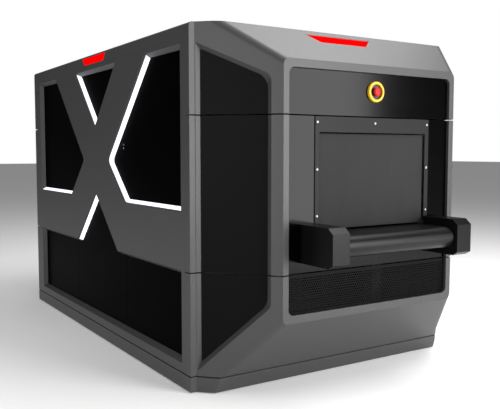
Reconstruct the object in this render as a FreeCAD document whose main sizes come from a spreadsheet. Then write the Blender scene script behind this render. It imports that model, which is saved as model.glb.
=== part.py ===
"""Checkpoint CT baggage scanner: a long cabinet with a belt running through it and a spinning gantry inside.

Millimetres.  +Z is up, the origin is on the floor under the middle of the cabinet, the belt runs along Y
and bags go in at the -Y end.  -X is the left side.  The tunnel stands to the right of the middle.
"""
import FreeCAD, Part
import math
import os
import re

import Sketcher
from FreeCAD import Placement, Rotation, Vector

doc = FreeCAD.newDocument("scanner")

# ---------------------------------------------------------------- driving sizes

SIZES = (
    # cabinet
    ("body_width", 1400, "left cover face to right cover face"),
    ("body_length", 2260, "front corner edge to rear corner edge"),
    ("body_height", 1553, "floor to roof"),
    ("nose_depth", 264, "corner edge to bezel face"),
    ("corner_strip", 27, "flat strip beside the left corner edge"),
    ("corner_return", 45, "how far an end shell wraps back along the side"),
    ("left_set", 261, "width of the left slanted corner"),
    ("right_set", 120, "width of the right slanted corner"),
    ("right_start", 66, "right side runs on past the corner edge by this much"),
    ("brow_height", 1398, "top of the bezel"),
    ("brow_set", 75, "front roof edge, ahead of the corner edge"),
    ("chin_height", 310, "bottom of the bezel"),
    ("toe_set", 74.5, "top of the plinth, ahead of the corner edge"),
    ("toe_foot", 56, "bottom of the plinth, ahead of the corner edge"),
    ("plinth_height", 70, "seam between plinth and shells"),
    ("plinth_lift", 4, "plinth clear of the floor"),
    ("upper_seam", 1173, "seam above the tunnel"),
    ("lower_seam", 514, "seam below the belt"),
    ("seam_gap", 5, "open width of a seam"),
    ("joint_gap", 0.8, "hairline joint between covers"),
    ("shell_wall", 5, "moulded shell"),
    ("shell_flange", 85, "bolting flange of an end shell"),
    ("hip_round", 40, "rounding where two slopes meet"),
    ("roof_round", 18, "rounding of the long roof edges"),
    ("roof_wall", 4, "roof sheet"),
    ("roof_skirt", 40, "straight skirt under the roof rounding"),
    ("recess", 15, "bezel face to dark panels"),
    ("bezel_side", 29, "bezel band at the sides"),
    ("bezel_rail", 34, "bezel band above and below"),
    ("window_round", 27, "inside corners of the bezel"),
    ("panel_wall", 3, "dark sheet panels"),
    ("panel_lap", 12, "how far a panel reaches behind the bezel"),
    ("inset_depth", 18, "depth of the pocket in a slanted corner"),
    ("inset_share", 0.86, "width of that pocket, as a share of the slope"),
    ("inset_top", 1471, "pocket top at the corner edge"),
    ("inset_fall", 139, "drop of the pocket top towards the bezel"),
    ("inset_bottom", 92, "pocket bottom at the corner edge"),
    ("inset_rise", 290, "rise of the pocket bottom towards the bezel"),
    ("inset_round", 60, "rounding of the pocket beside the bezel"),
    ("inset_slope", 45, "slope of the pocket's reveal, degrees"),
    ("right_inset_start", 30, "right pocket, along the slope from its foot"),
    ("right_inset_lift", 70, "right pocket bottom, above the left one"),
    ("right_inset_share", 0.7, "width of the right pocket, as a share of the slope"),
    # side covers
    ("cover_depth", 25, "moulded side cover"),
    ("cross_shift", -20, "middle of the crossed arms along Y"),
    ("window_reach", 1031, "middle of the cross to the end of the windows"),
    ("window_top", 1471, "top of the upper windows"),
    ("shelf_height", 766, "bottom of the upper windows"),
    ("lower_top", 516, "top of the lower window"),
    ("lower_bottom", 113, "bottom of the lower window"),
    ("waist_half", 176, "half the width of the cross at its waist"),
    ("waist_height", 977, "height of the waist"),
    ("arm_top_half", 673, "outer edge of an upper arm at the top"),
    ("arm_foot_half", 412, "outer edge of a lower arm at the shelf"),
    ("crown_half", 311, "half width of the triangle between upper arms"),
    ("crown_tip", 1154, "lower tip of that triangle"),
    ("crotch_half", 306, "half width of the notch between lower arms"),
    ("crotch_tip", 800, "upper tip of that notch"),
    ("reveal_slope", 36, "slope of the window reveals, degrees"),
    ("window_corner", 28, "rounding of the blunt window corners"),
    ("strip_width", 1.5, "thickness of a light strip on the window reveal"),
    ("strip_height", 18, "light strip, up the reveal from the dark panel"),
    ("front_split", -386, "joint between front and middle side panels"),
    ("rear_split", 346, "joint between middle and rear side panels"),
    ("split_gap", 3, "open width of that joint"),
    ("lamp_top_half", 179, "half width of a side lamp at the top"),
    ("lamp_foot_half", 141.5, "half width of a side lamp at the bottom"),
    ("lamp_top", 1539, "top of a side lamp"),
    ("lamp_foot", 1501, "bottom of a side lamp"),
    ("brow_lamp_top", 183, "half width of an end lamp at its top"),
    ("brow_lamp_foot", 128, "half width of an end lamp at its bottom"),
    ("brow_lamp_start", 36, "end lamp, down the slope from the roof edge"),
    ("brow_lamp_rise", 55, "end lamp, measured down the slope"),
    ("lamp_sink", 1.5, "lamp face below the cover"),
    ("lamp_wall", 6, "thickness of a lamp lens"),
    # tunnel and belt
    ("tunnel_shift", 92, "tunnel middle, right of the cabinet middle"),
    ("axis_height", 848, "gantry axis above the floor"),
    ("mouth_half", 310.5, "half the clear width of the tunnel mouth"),
    ("mouth_top", 1104, "top of the tunnel mouth"),
    ("trim_side", 23.5, "side strip of the mouth trim"),
    ("trim_wall", 4, "thickness of the mouth trim"),
    ("shield_half", 352, "half the inside width of the shield tunnel"),
    ("shield_floor", 545, "inside floor of the shield tunnel"),
    ("shield_wall", 6, "lead-lined shield wall"),
    ("shield_end", 300, "gantry middle to the shield end plates"),
    ("end_plate_half", 475, "half the size of a shield end plate"),
    ("belt_top", 685, "belt surface above the floor"),
    ("belt_wall", 3, "belt thickness"),
    ("belt_half", 303, "half the belt width"),
    ("nose_radius", 43.7, "radius of the end rollers"),
    ("roller_half", 300, "half length of the rollers"),
    ("roller_reach", 395, "end roller axis, ahead of the corner edge"),
    ("belt_gap", 0.3, "belt clear of its rollers"),
    ("housing_in", 313.5, "tunnel middle to the housing's inner face"),
    ("housing_width", 88, "width of a conveyor housing"),
    ("housing_wall", 4, "wall of a conveyor housing"),
    ("housing_foot", 557, "bottom of a conveyor housing"),
    ("housing_top", 720, "top of a conveyor housing"),
    ("housing_reach", 456, "housing end, ahead of the corner edge"),
    ("top_cut_run", 30, "upper end bevel, along the housing"),
    ("top_cut_drop", 24, "upper end bevel, down"),
    ("foot_cut_run", 25, "lower end bevel, along the housing"),
    ("foot_cut_rise", 15, "lower end bevel, up"),
    ("rail_reach", 440, "rail end, ahead of the corner edge"),
    ("rail_width", 30, "conveyor rail across"),
    ("rail_web", 8, "web of a conveyor rail"),
    ("rail_lip", 4, "flange of a conveyor rail"),
    ("rail_foot", 600, "bottom of a conveyor rail"),
    ("bed_wall", 4, "slider bed sheet"),
    ("bed_fold", 38, "folded edge of the slider bed"),
    ("bed_reach", 345, "slider bed end, ahead of the corner edge"),
    ("scan_half", 40, "half the length of the scan window"),
    ("journal", 10, "radius of the nose roller journals"),
    ("bearing_radius", 20, "outside radius of a nose bearing"),
    ("fit_gap", 0.05, "radial running clearance"),
    ("axle_radius", 12, "radius of the drum motor axle"),
    ("stator_radius", 34, "radius of the drum motor stator"),
    ("drum_wall", 7.7, "wall of the drum"),
    ("roller_wall", 5, "wall of the nose roller"),
    ("return_radius", 20, "radius of a return roller"),
    ("return_journal", 6, "radius of a return roller journal"),
    ("return_place", 700, "return rollers, from the gantry middle"),
    # curtain and stop buttons
    ("curtain_half", 306, "half the curtain width"),
    ("curtain_foot", 693, "bottom of the curtain"),
    ("curtain_wall", 5, "curtain thickness"),
    ("curtain_rod", 4, "radius of the curtain rod"),
    ("curtain_axis", 1096, "height of the curtain rod"),
    ("curtain_back", 9, "curtain rod, behind the dark panel face"),
    ("stop_height", 1284, "stop button above the floor"),
    ("collar_radius", 45, "yellow collar outside"),
    ("collar_bore", 33, "yellow collar inside"),
    ("collar_height", 13, "yellow collar, off the panel"),
    ("button_radius", 20, "red mushroom head"),
    ("stem_radius", 8.9, "stem of the mushroom button"),
    ("button_travel", 5, "how far the button goes in"),
    # gantry
    ("bore_radius", 444, "inside of the bore liner"),
    ("bore_wall", 4, "bore liner"),
    ("hub_bore", 452, "inside of the rotor hub"),
    ("hub_radius", 468, "outside of the rotor hub"),
    ("rotor_radius", 556, "outside of the rotor"),
    ("race_radius", 490, "outside of the main bearing"),
    ("race_gap", 0.3, "running gap of the main bearing"),
    ("stand_near", 150, "front face of the gantry stand"),
    ("stand_depth", 60, "gantry stand along the belt"),
    ("stand_half", 550, "half the width of the gantry stand"),
    ("stand_top", 1400, "top of the gantry stand"),
    ("disc_face", 105, "rotor disc face that carries the units"),
    ("disc_wall", 25, "rotor disc"),
    ("unit_near", -180, "front end of the units on the rotor"),
    ("unit_half", 80, "half the height of the side units"),
    ("pulley_radius", 40, "motor pulley"),
    ("drive_belt_wall", 5, "gantry drive belt"),
    ("motor_x", -400, "gantry motor axis"),
    ("motor_z", 300, "gantry motor axis above the floor"),
    ("motor_radius", 70, "gantry motor"),
    # frame
    ("tube", 60, "frame tube"),
    ("frame_foot", 74, "underside of the frame"),
    ("foot_radius", 28, "levelling foot pad"),
    # perforated panels
    ("hole_pitch", 12, "pitch of the perforation"),
    ("hole_radius", 3.6, "radius of one hole"),
    ("hole_margin", 8, "solid edge around the perforation"),
)

sheet = doc.addObject("Spreadsheet::Sheet", "sizes")
ALIASES = set()
for row, (alias, number, meaning) in enumerate(SIZES, 1):
    sheet.set(f"A{row}", meaning)
    sheet.set(f"B{row}", str(number))
    sheet.setAlias(f"B{row}", alias)
    ALIASES.add(alias)
doc.recompute()


def bound(text):
    """The same expression, with each size name pointing at its cell."""
    return re.sub(r"[a-z_]+", lambda word: f"sizes.{word[0]}" if word[0] in ALIASES else word[0], text)


def size(alias):
    """A size as a plain number, for shapes that are worked out in code."""
    return float(sheet.get(alias))


# ---------------------------------------------------------------- ways of making a piece

def unique(kind, name):
    return doc.addObject(kind, name)


def bind(thing, **cells):
    for prop, text in cells.items():
        thing.setExpression(prop.replace("__", "."), bound(text))
    return thing


def block(name, xs, ys, zs):
    """A box between two places along each axis."""
    thing = unique("Part::Box", name)
    for axis, side, (low, high) in zip("xyz", ("Length", "Width", "Height"), (xs, ys, zs)):
        thing.setExpression(f"Placement.Base.{axis}", bound(low))
        thing.setExpression(side, bound(f"({high}) - ({low})"))
    return thing


TURN = {"X": Rotation(Vector(0, 1, 0), 90), "Y": Rotation(Vector(1, 0, 0), -90), "Z": Rotation()}


def rod(name, axis, centre, span, radius, angle=None):
    """A cylinder along X, Y or Z.  centre gives the other two places, span where it starts and ends."""
    thing = unique("Part::Cylinder", name)
    thing.Placement = Placement(Vector(), TURN[axis])
    across = [letter for letter in "XYZ" if letter != axis]
    for letter, text in zip(across, centre):
        thing.setExpression(f"Placement.Base.{letter.lower()}", bound(text))
    thing.setExpression(f"Placement.Base.{axis.lower()}", bound(span[0]))
    bind(thing, Height=f"({span[1]}) - ({span[0]})", Radius=radius)
    if angle is not None:
        thing.Angle = angle
    return thing


def cut(name, base, *tools):
    """base with each tool taken away."""
    tool = tools[0] if len(tools) == 1 else fuse(name + "_tools", *tools)
    thing = unique("Part::Cut", name)
    thing.Base = base
    thing.Tool = tool
    return thing


def fuse(name, *pieces):
    thing = unique("Part::MultiFuse", name)
    thing.Shapes = list(pieces)
    thing.Refine = True
    return thing


def common(name, *pieces):
    thing = unique("Part::MultiCommon", name)
    thing.Shapes = list(pieces)
    return thing


def group(name, *pieces):
    """Separate solids that share one node."""
    thing = unique("Part::Compound", name)
    thing.Links = list(pieces)
    return thing


def mirror(name, source, normal):
    """The same piece on the other side of the middle: normal (0, 1, 0) swaps front and rear."""
    thing = unique("Part::Mirroring", name)
    thing.Source = source
    thing.Normal = Vector(*normal)
    return thing


def to_rear(name, source):
    return mirror(name, source, (0, 1, 0))


def to_right(name, source):
    return mirror(name, source, (1, 0, 0))


def trace(sketch, outline):
    """A closed outline of straight lines, each corner held at its own two expressions."""
    first = sketch.GeometryCount
    count = len(outline)
    for i in range(count):
        start, end = 2 * math.pi * i / count, 2 * math.pi * (i + 1) / count
        sketch.addGeometry(Part.LineSegment(Vector(math.cos(start), math.sin(start), 0),
                                            Vector(math.cos(end), math.sin(end), 0)), False)
    for i in range(count):
        sketch.addConstraint(Sketcher.Constraint("Coincident", first + i, 2, first + (i + 1) % count, 1))
    for i, corner in enumerate(outline):
        for kind, text in zip(("DistanceX", "DistanceY"), corner):
            held = sketch.addConstraint(Sketcher.Constraint(kind, -1, 1, first + i, 1, 1.0))
            sketch.setExpression(f"Constraints[{held}]", bound(text))
    return [first + i for i in range(count)]


def add_circle(sketch, centre, radius):
    ring = sketch.addGeometry(Part.Circle(Vector(1, 1, 0), Vector(0, 0, 1), 1.0), False)
    for kind, text in zip(("DistanceX", "DistanceY"), centre):
        held = sketch.addConstraint(Sketcher.Constraint(kind, -1, 1, ring, 3, 1.0))
        sketch.setExpression(f"Constraints[{held}]", bound(text))
    held = sketch.addConstraint(Sketcher.Constraint("Radius", ring, 1.0))
    sketch.setExpression(f"Constraints[{held}]", bound(radius))
    return ring


def sketch_on(body, plane, away="0"):
    """A sketch on one of the body's own planes, moved along that plane's normal."""
    sketch = body.newObject("Sketcher::SketchObject", body.Name + "_sketch")
    origin = [one for one in body.Origin.OriginFeatures if one.Role == plane + "_Plane"][0]
    sketch.AttachmentSupport = [(origin, "")]
    sketch.MapMode = "FlatFace"
    sketch.setExpression("AttachmentOffset.Base.z", bound(away))
    return sketch


def corner_edges(shape, sketch, lines):
    """Names of the edges that rise from the given sketch corners, across the sketch plane."""
    normal = sketch.Placement.Rotation.multVec(Vector(0, 0, 1))
    places = [sketch.Placement.multVec(sketch.getPoint(line, 1)) for line in lines]
    found = []
    for number, edge in enumerate(shape.Edges, 1):
        ends = edge.Vertexes[0].Point, edge.Vertexes[-1].Point
        if abs((ends[1] - ends[0]).dot(normal)) < 0.5:
            continue
        if any((end - place).Length < 0.01 for end in ends for place in places):
            found.append(f"Edge{number}")
    return found


def prism(name, plane, outline, span, holes=(), circles=(), rounds=(), taper=None):
    """A padded sketch: outline and holes are corner lists, rounds are (radius, loop, corners).

    Plane XY pads up Z, YZ along X and XZ along Y; span says where the pad starts and ends.
    A taper, in degrees, widens the outline along the pad.
    """
    body = unique("PartDesign::Body", name)
    low, high = span
    sketch = sketch_on(body, plane, f"-({high})" if plane == "XZ" else low)
    loops = [trace(sketch, outline)]
    for hole in holes:
        loops.append(trace(sketch, hole))
    for centre, radius in circles:
        add_circle(sketch, centre, radius)
    pad = body.newObject("PartDesign::Pad", name + "_pad")
    pad.Profile = sketch
    bind(pad, Length=f"({high}) - ({low})")
    if taper:
        bind(pad, TaperAngle=taper)
    if rounds:
        doc.recompute()
    feature = pad
    for radius, loop, corners in rounds:
        edges = corner_edges(feature.Shape, sketch, [loops[loop][i] for i in corners])
        rounded = body.newObject("PartDesign::Fillet", name + "_round")
        rounded.Base = (feature, edges)
        bind(rounded, Radius=radius)
        doc.recompute()
        feature = rounded
    return body


def turned(name, axis, centre, outline):
    """A revolved piece about X or Y: outline corners are (place along the axis, radius)."""
    body = unique("PartDesign::Body", name)
    sketch = sketch_on(body, "XY")
    trace(sketch, [(along, radius) if axis == "X" else (radius, along) for along, radius in outline])
    spun = body.newObject("PartDesign::Revolution", name + "_turn")
    spun.Profile = sketch
    spun.ReferenceAxis = (sketch, ["H_Axis" if axis == "X" else "V_Axis"])
    spun.Angle = 360
    across = "yz" if axis == "X" else "xz"
    for letter, text in zip(across, centre):
        body.setExpression(f"Placement.Base.{letter}", bound(text))
    return body


NODES = {}


def node(name, thing):
    """Registers a finished sub-part under the name of its file."""
    thing.Label = name
    NODES[name] = thing
    return thing


# ---------------------------------------------------------------- shared places

FRONT = "(-body_length / 2)"
BEZEL = f"({FRONT} - nose_depth)"
FACE = f"({BEZEL} + recess)"
SHELL_BACK = f"({FRONT} + corner_return)"
COVER_END = f"({SHELL_BACK} + joint_gap)"
LEFT = "(-body_width / 2)"
RIGHT = "(body_width / 2)"
ROOF_SEAM = "(body_height - roof_round - roof_skirt)"
FRAME_SIDE = "(body_width / 2 - cover_depth - panel_wall)"
FRAME_END = SHELL_BACK
BEZEL_LEFT = f"({LEFT} + corner_strip + left_set)"
BEZEL_RIGHT = f"({RIGHT} - right_set)"
MIDDLE = "tunnel_shift"
ROLLER_AXIS = "(belt_top - belt_wall - belt_gap - nose_radius)"
SEAT = "(belt_top - belt_wall)"


# ---------------------------------------------------------------- end shells

def slope_length(run, depth):
    return f"sqrt(({run}) ^ 2 + ({depth}) ^ 2)"


def plan(name, wall):
    """The shell seen from above, between the corner return and the bezel."""
    ahead = "nose_depth" if wall == "0" else "(nose_depth - recess)"
    run = "(nose_depth - right_start)"
    left_slope = slope_length("left_set", "nose_depth")
    right_slope = slope_length("right_set", run)
    left_foot = f"{LEFT} + corner_strip + {wall} * ({left_slope} - left_set) / nose_depth"
    right_reach = f"(right_start - {wall} * ({right_slope} - {run}) / right_set)"
    right_nose = f"{RIGHT} - {wall} * {right_slope} / {run} - right_set * ({ahead} - right_start) / {run}"
    outline = [
        (f"{LEFT} + {wall}", f"{SHELL_BACK} - {wall}"), (f"{LEFT} + {wall}", f"{FRONT} + {wall}"),
        (left_foot, f"{FRONT} + {wall}"),
        (f"{left_foot} + ({ahead} + {wall}) * left_set / nose_depth", f"{FRONT} - {ahead}"),
        (right_nose, f"{FRONT} - {ahead}"),
        (f"{RIGHT} - {wall}", f"{FRONT} - {right_reach}"),
        (f"{RIGHT} - {wall}", f"{SHELL_BACK} - {wall}"),
    ]
    return prism(name, "XY", outline, ("-1", "body_height + 1"))


def profile(name, wall):
    """The shell seen from the side: toe, chin slope, bezel, brow slope and roof."""
    if wall == "0":
        ahead, chin, brow = "nose_depth", "0", "0"
    else:
        ahead = "(nose_depth - recess)"
        chin = ("(shell_wall * sqrt((nose_depth - toe_set) ^ 2 + (chin_height - plinth_height) ^ 2)"
                " / (chin_height - plinth_height))")
        brow = ("(shell_wall * sqrt((nose_depth - brow_set) ^ 2 + (body_height - brow_height) ^ 2)"
                " / (body_height - brow_height))")
    chin_slope = "((chin_height - plinth_height) / (nose_depth - toe_set))"
    brow_slope = "((body_height - brow_height) / (nose_depth - brow_set))"
    outline = [
        (f"{SHELL_BACK} - {wall}", "-1"),
        (f"{FRONT} - toe_foot + {chin}", "-1"),
        (f"{FRONT} - toe_foot + {chin}", "0"),
        (f"{FRONT} - toe_set + {chin}", "plinth_height"),
        (f"{FRONT} - {ahead}", f"plinth_height + ({ahead} - toe_set + {chin}) * {chin_slope}"),
        (f"{FRONT} - {ahead}", f"body_height - ({ahead} - brow_set + {brow}) * {brow_slope}"),
        (f"{FRONT} - brow_set + {brow} - {wall} / {brow_slope}", f"body_height - {wall}"),
        (f"{SHELL_BACK} - {wall}", f"body_height - {wall}"),
    ]
    return prism(name, "YZ", outline, (f"{LEFT} - 1", f"{RIGHT} + 1"))


def section(name, wall):
    """The cabinet seen from the end, with its rounded roof edges."""
    outline = [(f"{LEFT} + {wall}", "-2"), (f"{RIGHT} - {wall}", "-2"),
               (f"{RIGHT} - {wall}", f"body_height - {wall}"), (f"{LEFT} + {wall}", f"body_height - {wall}")]
    return prism(name, "XZ", outline, (f"{BEZEL} - 1", f"{SHELL_BACK} + 1"),
                 rounds=[(f"roof_round - {wall}", 0, (2, 3))])


def is_hip(edge):
    """The four edges where a slanted corner meets the brow or the chin slope."""
    ends = edge.Vertexes[0].Point, edge.Vertexes[-1].Point
    run = ends[1] - ends[0]
    return abs(run.x) > 20 and abs(run.y) > 20 and abs(run.z) > 20


def rounded_hips(name, base, radius):
    doc.recompute()
    thing = unique("Part::Fillet", name)
    thing.Base = base
    hips = [number for number, edge in enumerate(base.Shape.Edges, 1) if is_hip(edge)]
    thing.Edges = [(number, radius, radius) for number in hips]
    print(name, "hips rounded:", len(hips))
    return thing


def slanted(name, outline, depths, side, rounds=(), taper=None):
    """A prism square to a slanted corner: outline is (along the slope, height), depths go inwards."""
    body = prism(name, "XZ", outline, depths, rounds=rounds, taper=taper)
    if side == "left":
        run, depth, foot, start = "left_set", "nose_depth", f"{LEFT} + corner_strip", FRONT
    else:
        run, depth, foot, start = "right_set", "nose_depth - right_start", LEFT, f"{FRONT} - right_start"
    body.Placement = Placement(Vector(), Rotation(Vector(0, 0, 1), -45))
    bind(body, Placement__Rotation__Angle=f"atan2({depth}; {run})")
    body.Placement.Rotation.Axis = Vector(0, 0, -1)
    bind(body, Placement__Base__x=foot, Placement__Base__y=start)
    if side == "right":
        return to_right(name + "_right", body)
    return body


def inset_outline(side, edge):
    """The pocket in a slanted corner; edge moves every side of its border outwards by the same distance."""
    if side == "left":
        near, bottom, share = "2", "inset_bottom", "inset_share"
        slope = slope_length("left_set", "nose_depth")
    else:
        near, bottom, share = "right_inset_start", "(inset_bottom + right_inset_lift)", "right_inset_share"
        slope = slope_length("right_set", "nose_depth - right_start")
    width = f"({share} * {slope})"
    rise, fall = f"(inset_rise / {width})", f"(inset_fall / {width})"
    foot_down, head_up = f"sqrt(1 + {rise} ^ 2)", f"sqrt(1 + {fall} ^ 2)"
    return [(f"{near} - ({edge})", f"{bottom} - ({edge}) * ({rise} + {foot_down})"),
            (f"{near} + {width} + ({edge})", f"{bottom} + inset_rise + ({edge}) * ({rise} - {foot_down})"),
            (f"{near} + {width} + ({edge})", f"inset_top - inset_fall + ({edge}) * ({head_up} - {fall})"),
            (f"{near} - ({edge})", f"inset_top + ({edge}) * ({head_up} + {fall})")]


outer = rounded_hips("nose_outer", common("nose_outer_sharp", plan("outer_plan", "0"),
                     profile("outer_profile", "0"), section("outer_section", "0")), size("hip_round"))
inner = rounded_hips("nose_inner", common("nose_inner_sharp", plan("inner_plan", "shell_wall"),
                     profile("inner_profile", "shell_wall"), section("inner_section", "shell_wall")),
                     size("hip_round") - size("shell_wall"))

back_window = block("back_window", (f"{LEFT} + shell_flange", f"{RIGHT} - shell_flange"),
                    (f"{SHELL_BACK} - shell_wall - 1", f"{SHELL_BACK} + 1"),
                    ("frame_foot + tube", "body_height - shell_flange - 8"))
BEZEL_WINDOW = [
    (f"{BEZEL_LEFT} + bezel_side", "chin_height + bezel_rail"),
    (f"{BEZEL_RIGHT} - bezel_side", "chin_height + bezel_rail"),
    (f"{BEZEL_RIGHT} - bezel_side", "brow_height - bezel_rail"),
    (f"{BEZEL_LEFT} + bezel_side", "brow_height - bezel_rail"),
]
bezel_window = prism("bezel_window", "XZ", BEZEL_WINDOW, (f"{BEZEL} - 1", f"{FACE} + 1"),
                     rounds=[("window_round", 0, (0, 1, 2, 3))])

bosses, pockets, liners = [], [], []
for side, rounding in (("left", "inset_round"), ("right", "inset_round / 2")):
    bosses.append(common(side + "_boss_trimmed", outer, slanted(
        side + "_boss", inset_outline(side, "1.4 * shell_wall - inset_depth - shell_wall"),
        ("-2", "inset_depth + shell_wall"), side, taper="inset_slope")))
    pockets.append(slanted(side + "_pocket", inset_outline(side, "0 - inset_depth"), ("-10", "inset_depth"), side,
                           rounds=[(rounding, 0, (1, 2))], taper="inset_slope"))
    liners.append(slanted(side + "_liner", inset_outline(side, "0 - inset_depth - 0.4"),
                          ("inset_depth - panel_wall", "inset_depth"), side,
                          rounds=[(f"{rounding} - 0.4", 0, (1, 2))]))

BROW_ANGLE = "atan2(body_height - brow_height; nose_depth - brow_set)"


def brow_lamp(name, edge, depths):
    """A lamp shape on the brow slope: wide at the top, with slanted ends."""
    outline = [(f"-brow_lamp_top - ({edge})", f"0 - brow_lamp_start + ({edge})"),
               (f"-brow_lamp_foot - ({edge})", f"0 - brow_lamp_start - brow_lamp_rise - ({edge})"),
               (f"brow_lamp_foot + ({edge})", f"0 - brow_lamp_start - brow_lamp_rise - ({edge})"),
               (f"brow_lamp_top + ({edge})", f"0 - brow_lamp_start + ({edge})")]
    low, high = depths
    body = prism(name, "XY", outline, (f"-({high})", f"-({low})"))
    body.Placement = Placement(Vector(), Rotation(Vector(1, 0, 0), 39))
    bind(body, Placement__Rotation__Angle=BROW_ANGLE, Placement__Base__y=f"{FRONT} - brow_set",
         Placement__Base__z="body_height")
    return body


shell = cut("nose_shell", fuse("nose_with_bosses", cut("nose_hollow", outer, inner), *bosses),
            back_window, bezel_window, brow_lamp("brow_lamp_hole", "0.3", ("-1", "shell_wall + 8")), *pockets)

WIDE = (f"{LEFT} - 2", f"{RIGHT} + 2")
DEEP = (f"{BEZEL} - 2", f"{SHELL_BACK} + 2")
TIERS = {
    "plinth": ("plinth_lift", "plinth_height - seam_gap / 2"),
    "lower": ("plinth_height + seam_gap / 2", "lower_seam - seam_gap / 2"),
    "middle": ("lower_seam + seam_gap / 2", "upper_seam - seam_gap / 2"),
    "upper": ("upper_seam + seam_gap / 2", "body_height + 2"),
}
insets = []
end_plinths = []
for tier, (low, high) in TIERS.items():
    slab = block(tier + "_slab", WIDE, DEEP, (low, high))
    piece = common(f"front_{tier}", shell, slab)
    twin = to_rear(f"rear_{tier}", piece)
    if tier == "plinth":
        end_plinths += [piece, twin]
        continue
    node(f"front_{tier}_shell", piece)
    node(f"rear_{tier}_shell", twin)
    for liner in liners:
        cut_liner = common(f"{liner.Name}_{tier}", liner, slab)
        insets += [cut_liner, to_rear(cut_liner.Name + "_rear", cut_liner)]
node("corner_insets", group("inset_group", *insets))

side_plinth = cut("left_plinth", block("left_plinth_block", (LEFT, f"-{FRAME_SIDE}"), (COVER_END, f"-{COVER_END}"),
                                       TIERS["plinth"]),
                  block("left_plinth_hollow", (f"{LEFT} + shell_wall", f"1 - {FRAME_SIDE}"),
                        (f"{COVER_END} - 1", f"1 - {COVER_END}"),
                        ("plinth_lift + shell_wall", "plinth_height - seam_gap / 2 - shell_wall")))
node("plinths", group("plinth_group", *end_plinths, side_plinth, to_right("right_plinth", side_plinth)))

# ---------------------------------------------------------------- roof and side covers

ROOF_SPAN = (COVER_END, f"-{COVER_END}")


def roof_section(name, depth, span, foot=ROOF_SEAM):
    """The cabinet's top seen from the end, with its outer face moved in by depth."""
    return prism(name, "XZ", [(f"{LEFT} + {depth}", foot), (f"{RIGHT} - {depth}", foot),
                              (f"{RIGHT} - {depth}", f"body_height - {depth}"),
                              (f"{LEFT} + {depth}", f"body_height - {depth}")],
                 span, rounds=[(f"roof_round - {depth}", 0, (2, 3))])


def side_lamp(name, edge):
    """The side lamps seen square to the side, through the whole width of the roof."""
    return prism(name, "YZ", [(f"cross_shift - lamp_foot_half - {edge}", f"lamp_foot - {edge}"),
                              (f"cross_shift + lamp_foot_half + {edge}", f"lamp_foot - {edge}"),
                              (f"cross_shift + lamp_top_half + {edge}", f"lamp_top + {edge}"),
                              (f"cross_shift - lamp_top_half - {edge}", f"lamp_top + {edge}")],
                 WIDE)


roof_solid = roof_section("roof_outside", "0", ROOF_SPAN, f"{ROOF_SEAM} + joint_gap")
roof_hollow = roof_section("roof_inside", "roof_wall", (f"{COVER_END} - 1", f"1 - {COVER_END}"),
                           f"{ROOF_SEAM} - 2")
node("roof_panel", cut("roof", roof_solid, roof_hollow, side_lamp("lamp_hole", "0.3")))

lens_band = cut("lens_band", roof_section("lens_outside", "lamp_sink", ROOF_SPAN),
                roof_section("lens_inside", "(lamp_sink + lamp_wall)", (f"{COVER_END} - 1", f"1 - {COVER_END}"),
                             f"{ROOF_SEAM} - 2"))
side_lenses = common("side_lenses", lens_band, side_lamp("lens_shape", "0"))
end_lens = brow_lamp("front_lens", "0", ("lamp_sink", "lamp_sink + lamp_wall"))
node("status_lights", group("lamp_group", side_lenses, end_lens, to_rear("rear_lens", end_lens)))


def about_cross(*corners):
    """Corners given from the middle of the cross, moved to their place along the cabinet."""
    return [(f"cross_shift + ({along})", height) for along, height in corners]


END_WINDOW = (("0 - window_reach", "shelf_height"), ("0 - window_reach", "window_top"),
              ("0 - arm_top_half", "window_top"), ("0 - waist_half", "waist_height"),
              ("0 - arm_foot_half", "shelf_height"))
WINDOWS = {
    "front": about_cross(*END_WINDOW),
    "rear": about_cross(*((f"0 - ({along})", height) for along, height in END_WINDOW)),
    "crown": about_cross(("0 - crown_half", "window_top"), ("crown_half", "window_top"), ("0", "crown_tip")),
    "lower": about_cross(("0 - window_reach", "lower_bottom"), ("0 - window_reach", "lower_top"),
                         ("0 - crotch_half", "lower_top"), ("0", "crotch_tip"), ("crotch_half", "lower_top"),
                         ("window_reach", "lower_top"), ("window_reach", "lower_bottom")),
}
BLUNT = {"front": (3, 4), "rear": (3, 4), "crown": (), "lower": (2, 4)}


def side_cover(name):
    """The left cover: a thick moulding with four windows whose reveals slope inwards."""
    body = unique("PartDesign::Body", name)
    sketch = sketch_on(body, "YZ", LEFT)
    foot = "plinth_height + seam_gap / 2"
    trace(sketch, [(COVER_END, foot), (f"-{COVER_END}", foot), (f"-{COVER_END}", ROOF_SEAM),
                   (COVER_END, ROOF_SEAM)])
    feature = body.newObject("PartDesign::Pad", name + "_pad")
    feature.Profile = sketch
    bind(feature, Length="cover_depth")
    doc.recompute()
    traced = {}
    for place, outline in WINDOWS.items():
        window = sketch_on(body, "YZ", LEFT)
        lines = trace(window, outline)
        opening = body.newObject("PartDesign::Pocket", f"{name}_{place}_window")
        opening.Profile = window
        opening.Reversed = True
        bind(opening, Length="cover_depth", TaperAngle="0 - reveal_slope")
        before = feature.Shape.Volume
        doc.recompute()
        if opening.Shape.Volume > before - 1000:
            raise RuntimeError(f"the {place} window cuts nothing")
        feature = opening
        traced[place] = [window.Placement.multVec(window.getPoint(line, 1)) for line in lines]
        if BLUNT[place]:
            edges = reveal_edges(feature.Shape, [traced[place][i] for i in BLUNT[place]])
            rounded = body.newObject("PartDesign::Fillet", f"{name}_{place}_round")
            rounded.Base = (feature, edges)
            bind(rounded, Radius="window_corner")
            doc.recompute()
            feature = rounded
    return body, traced


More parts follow.
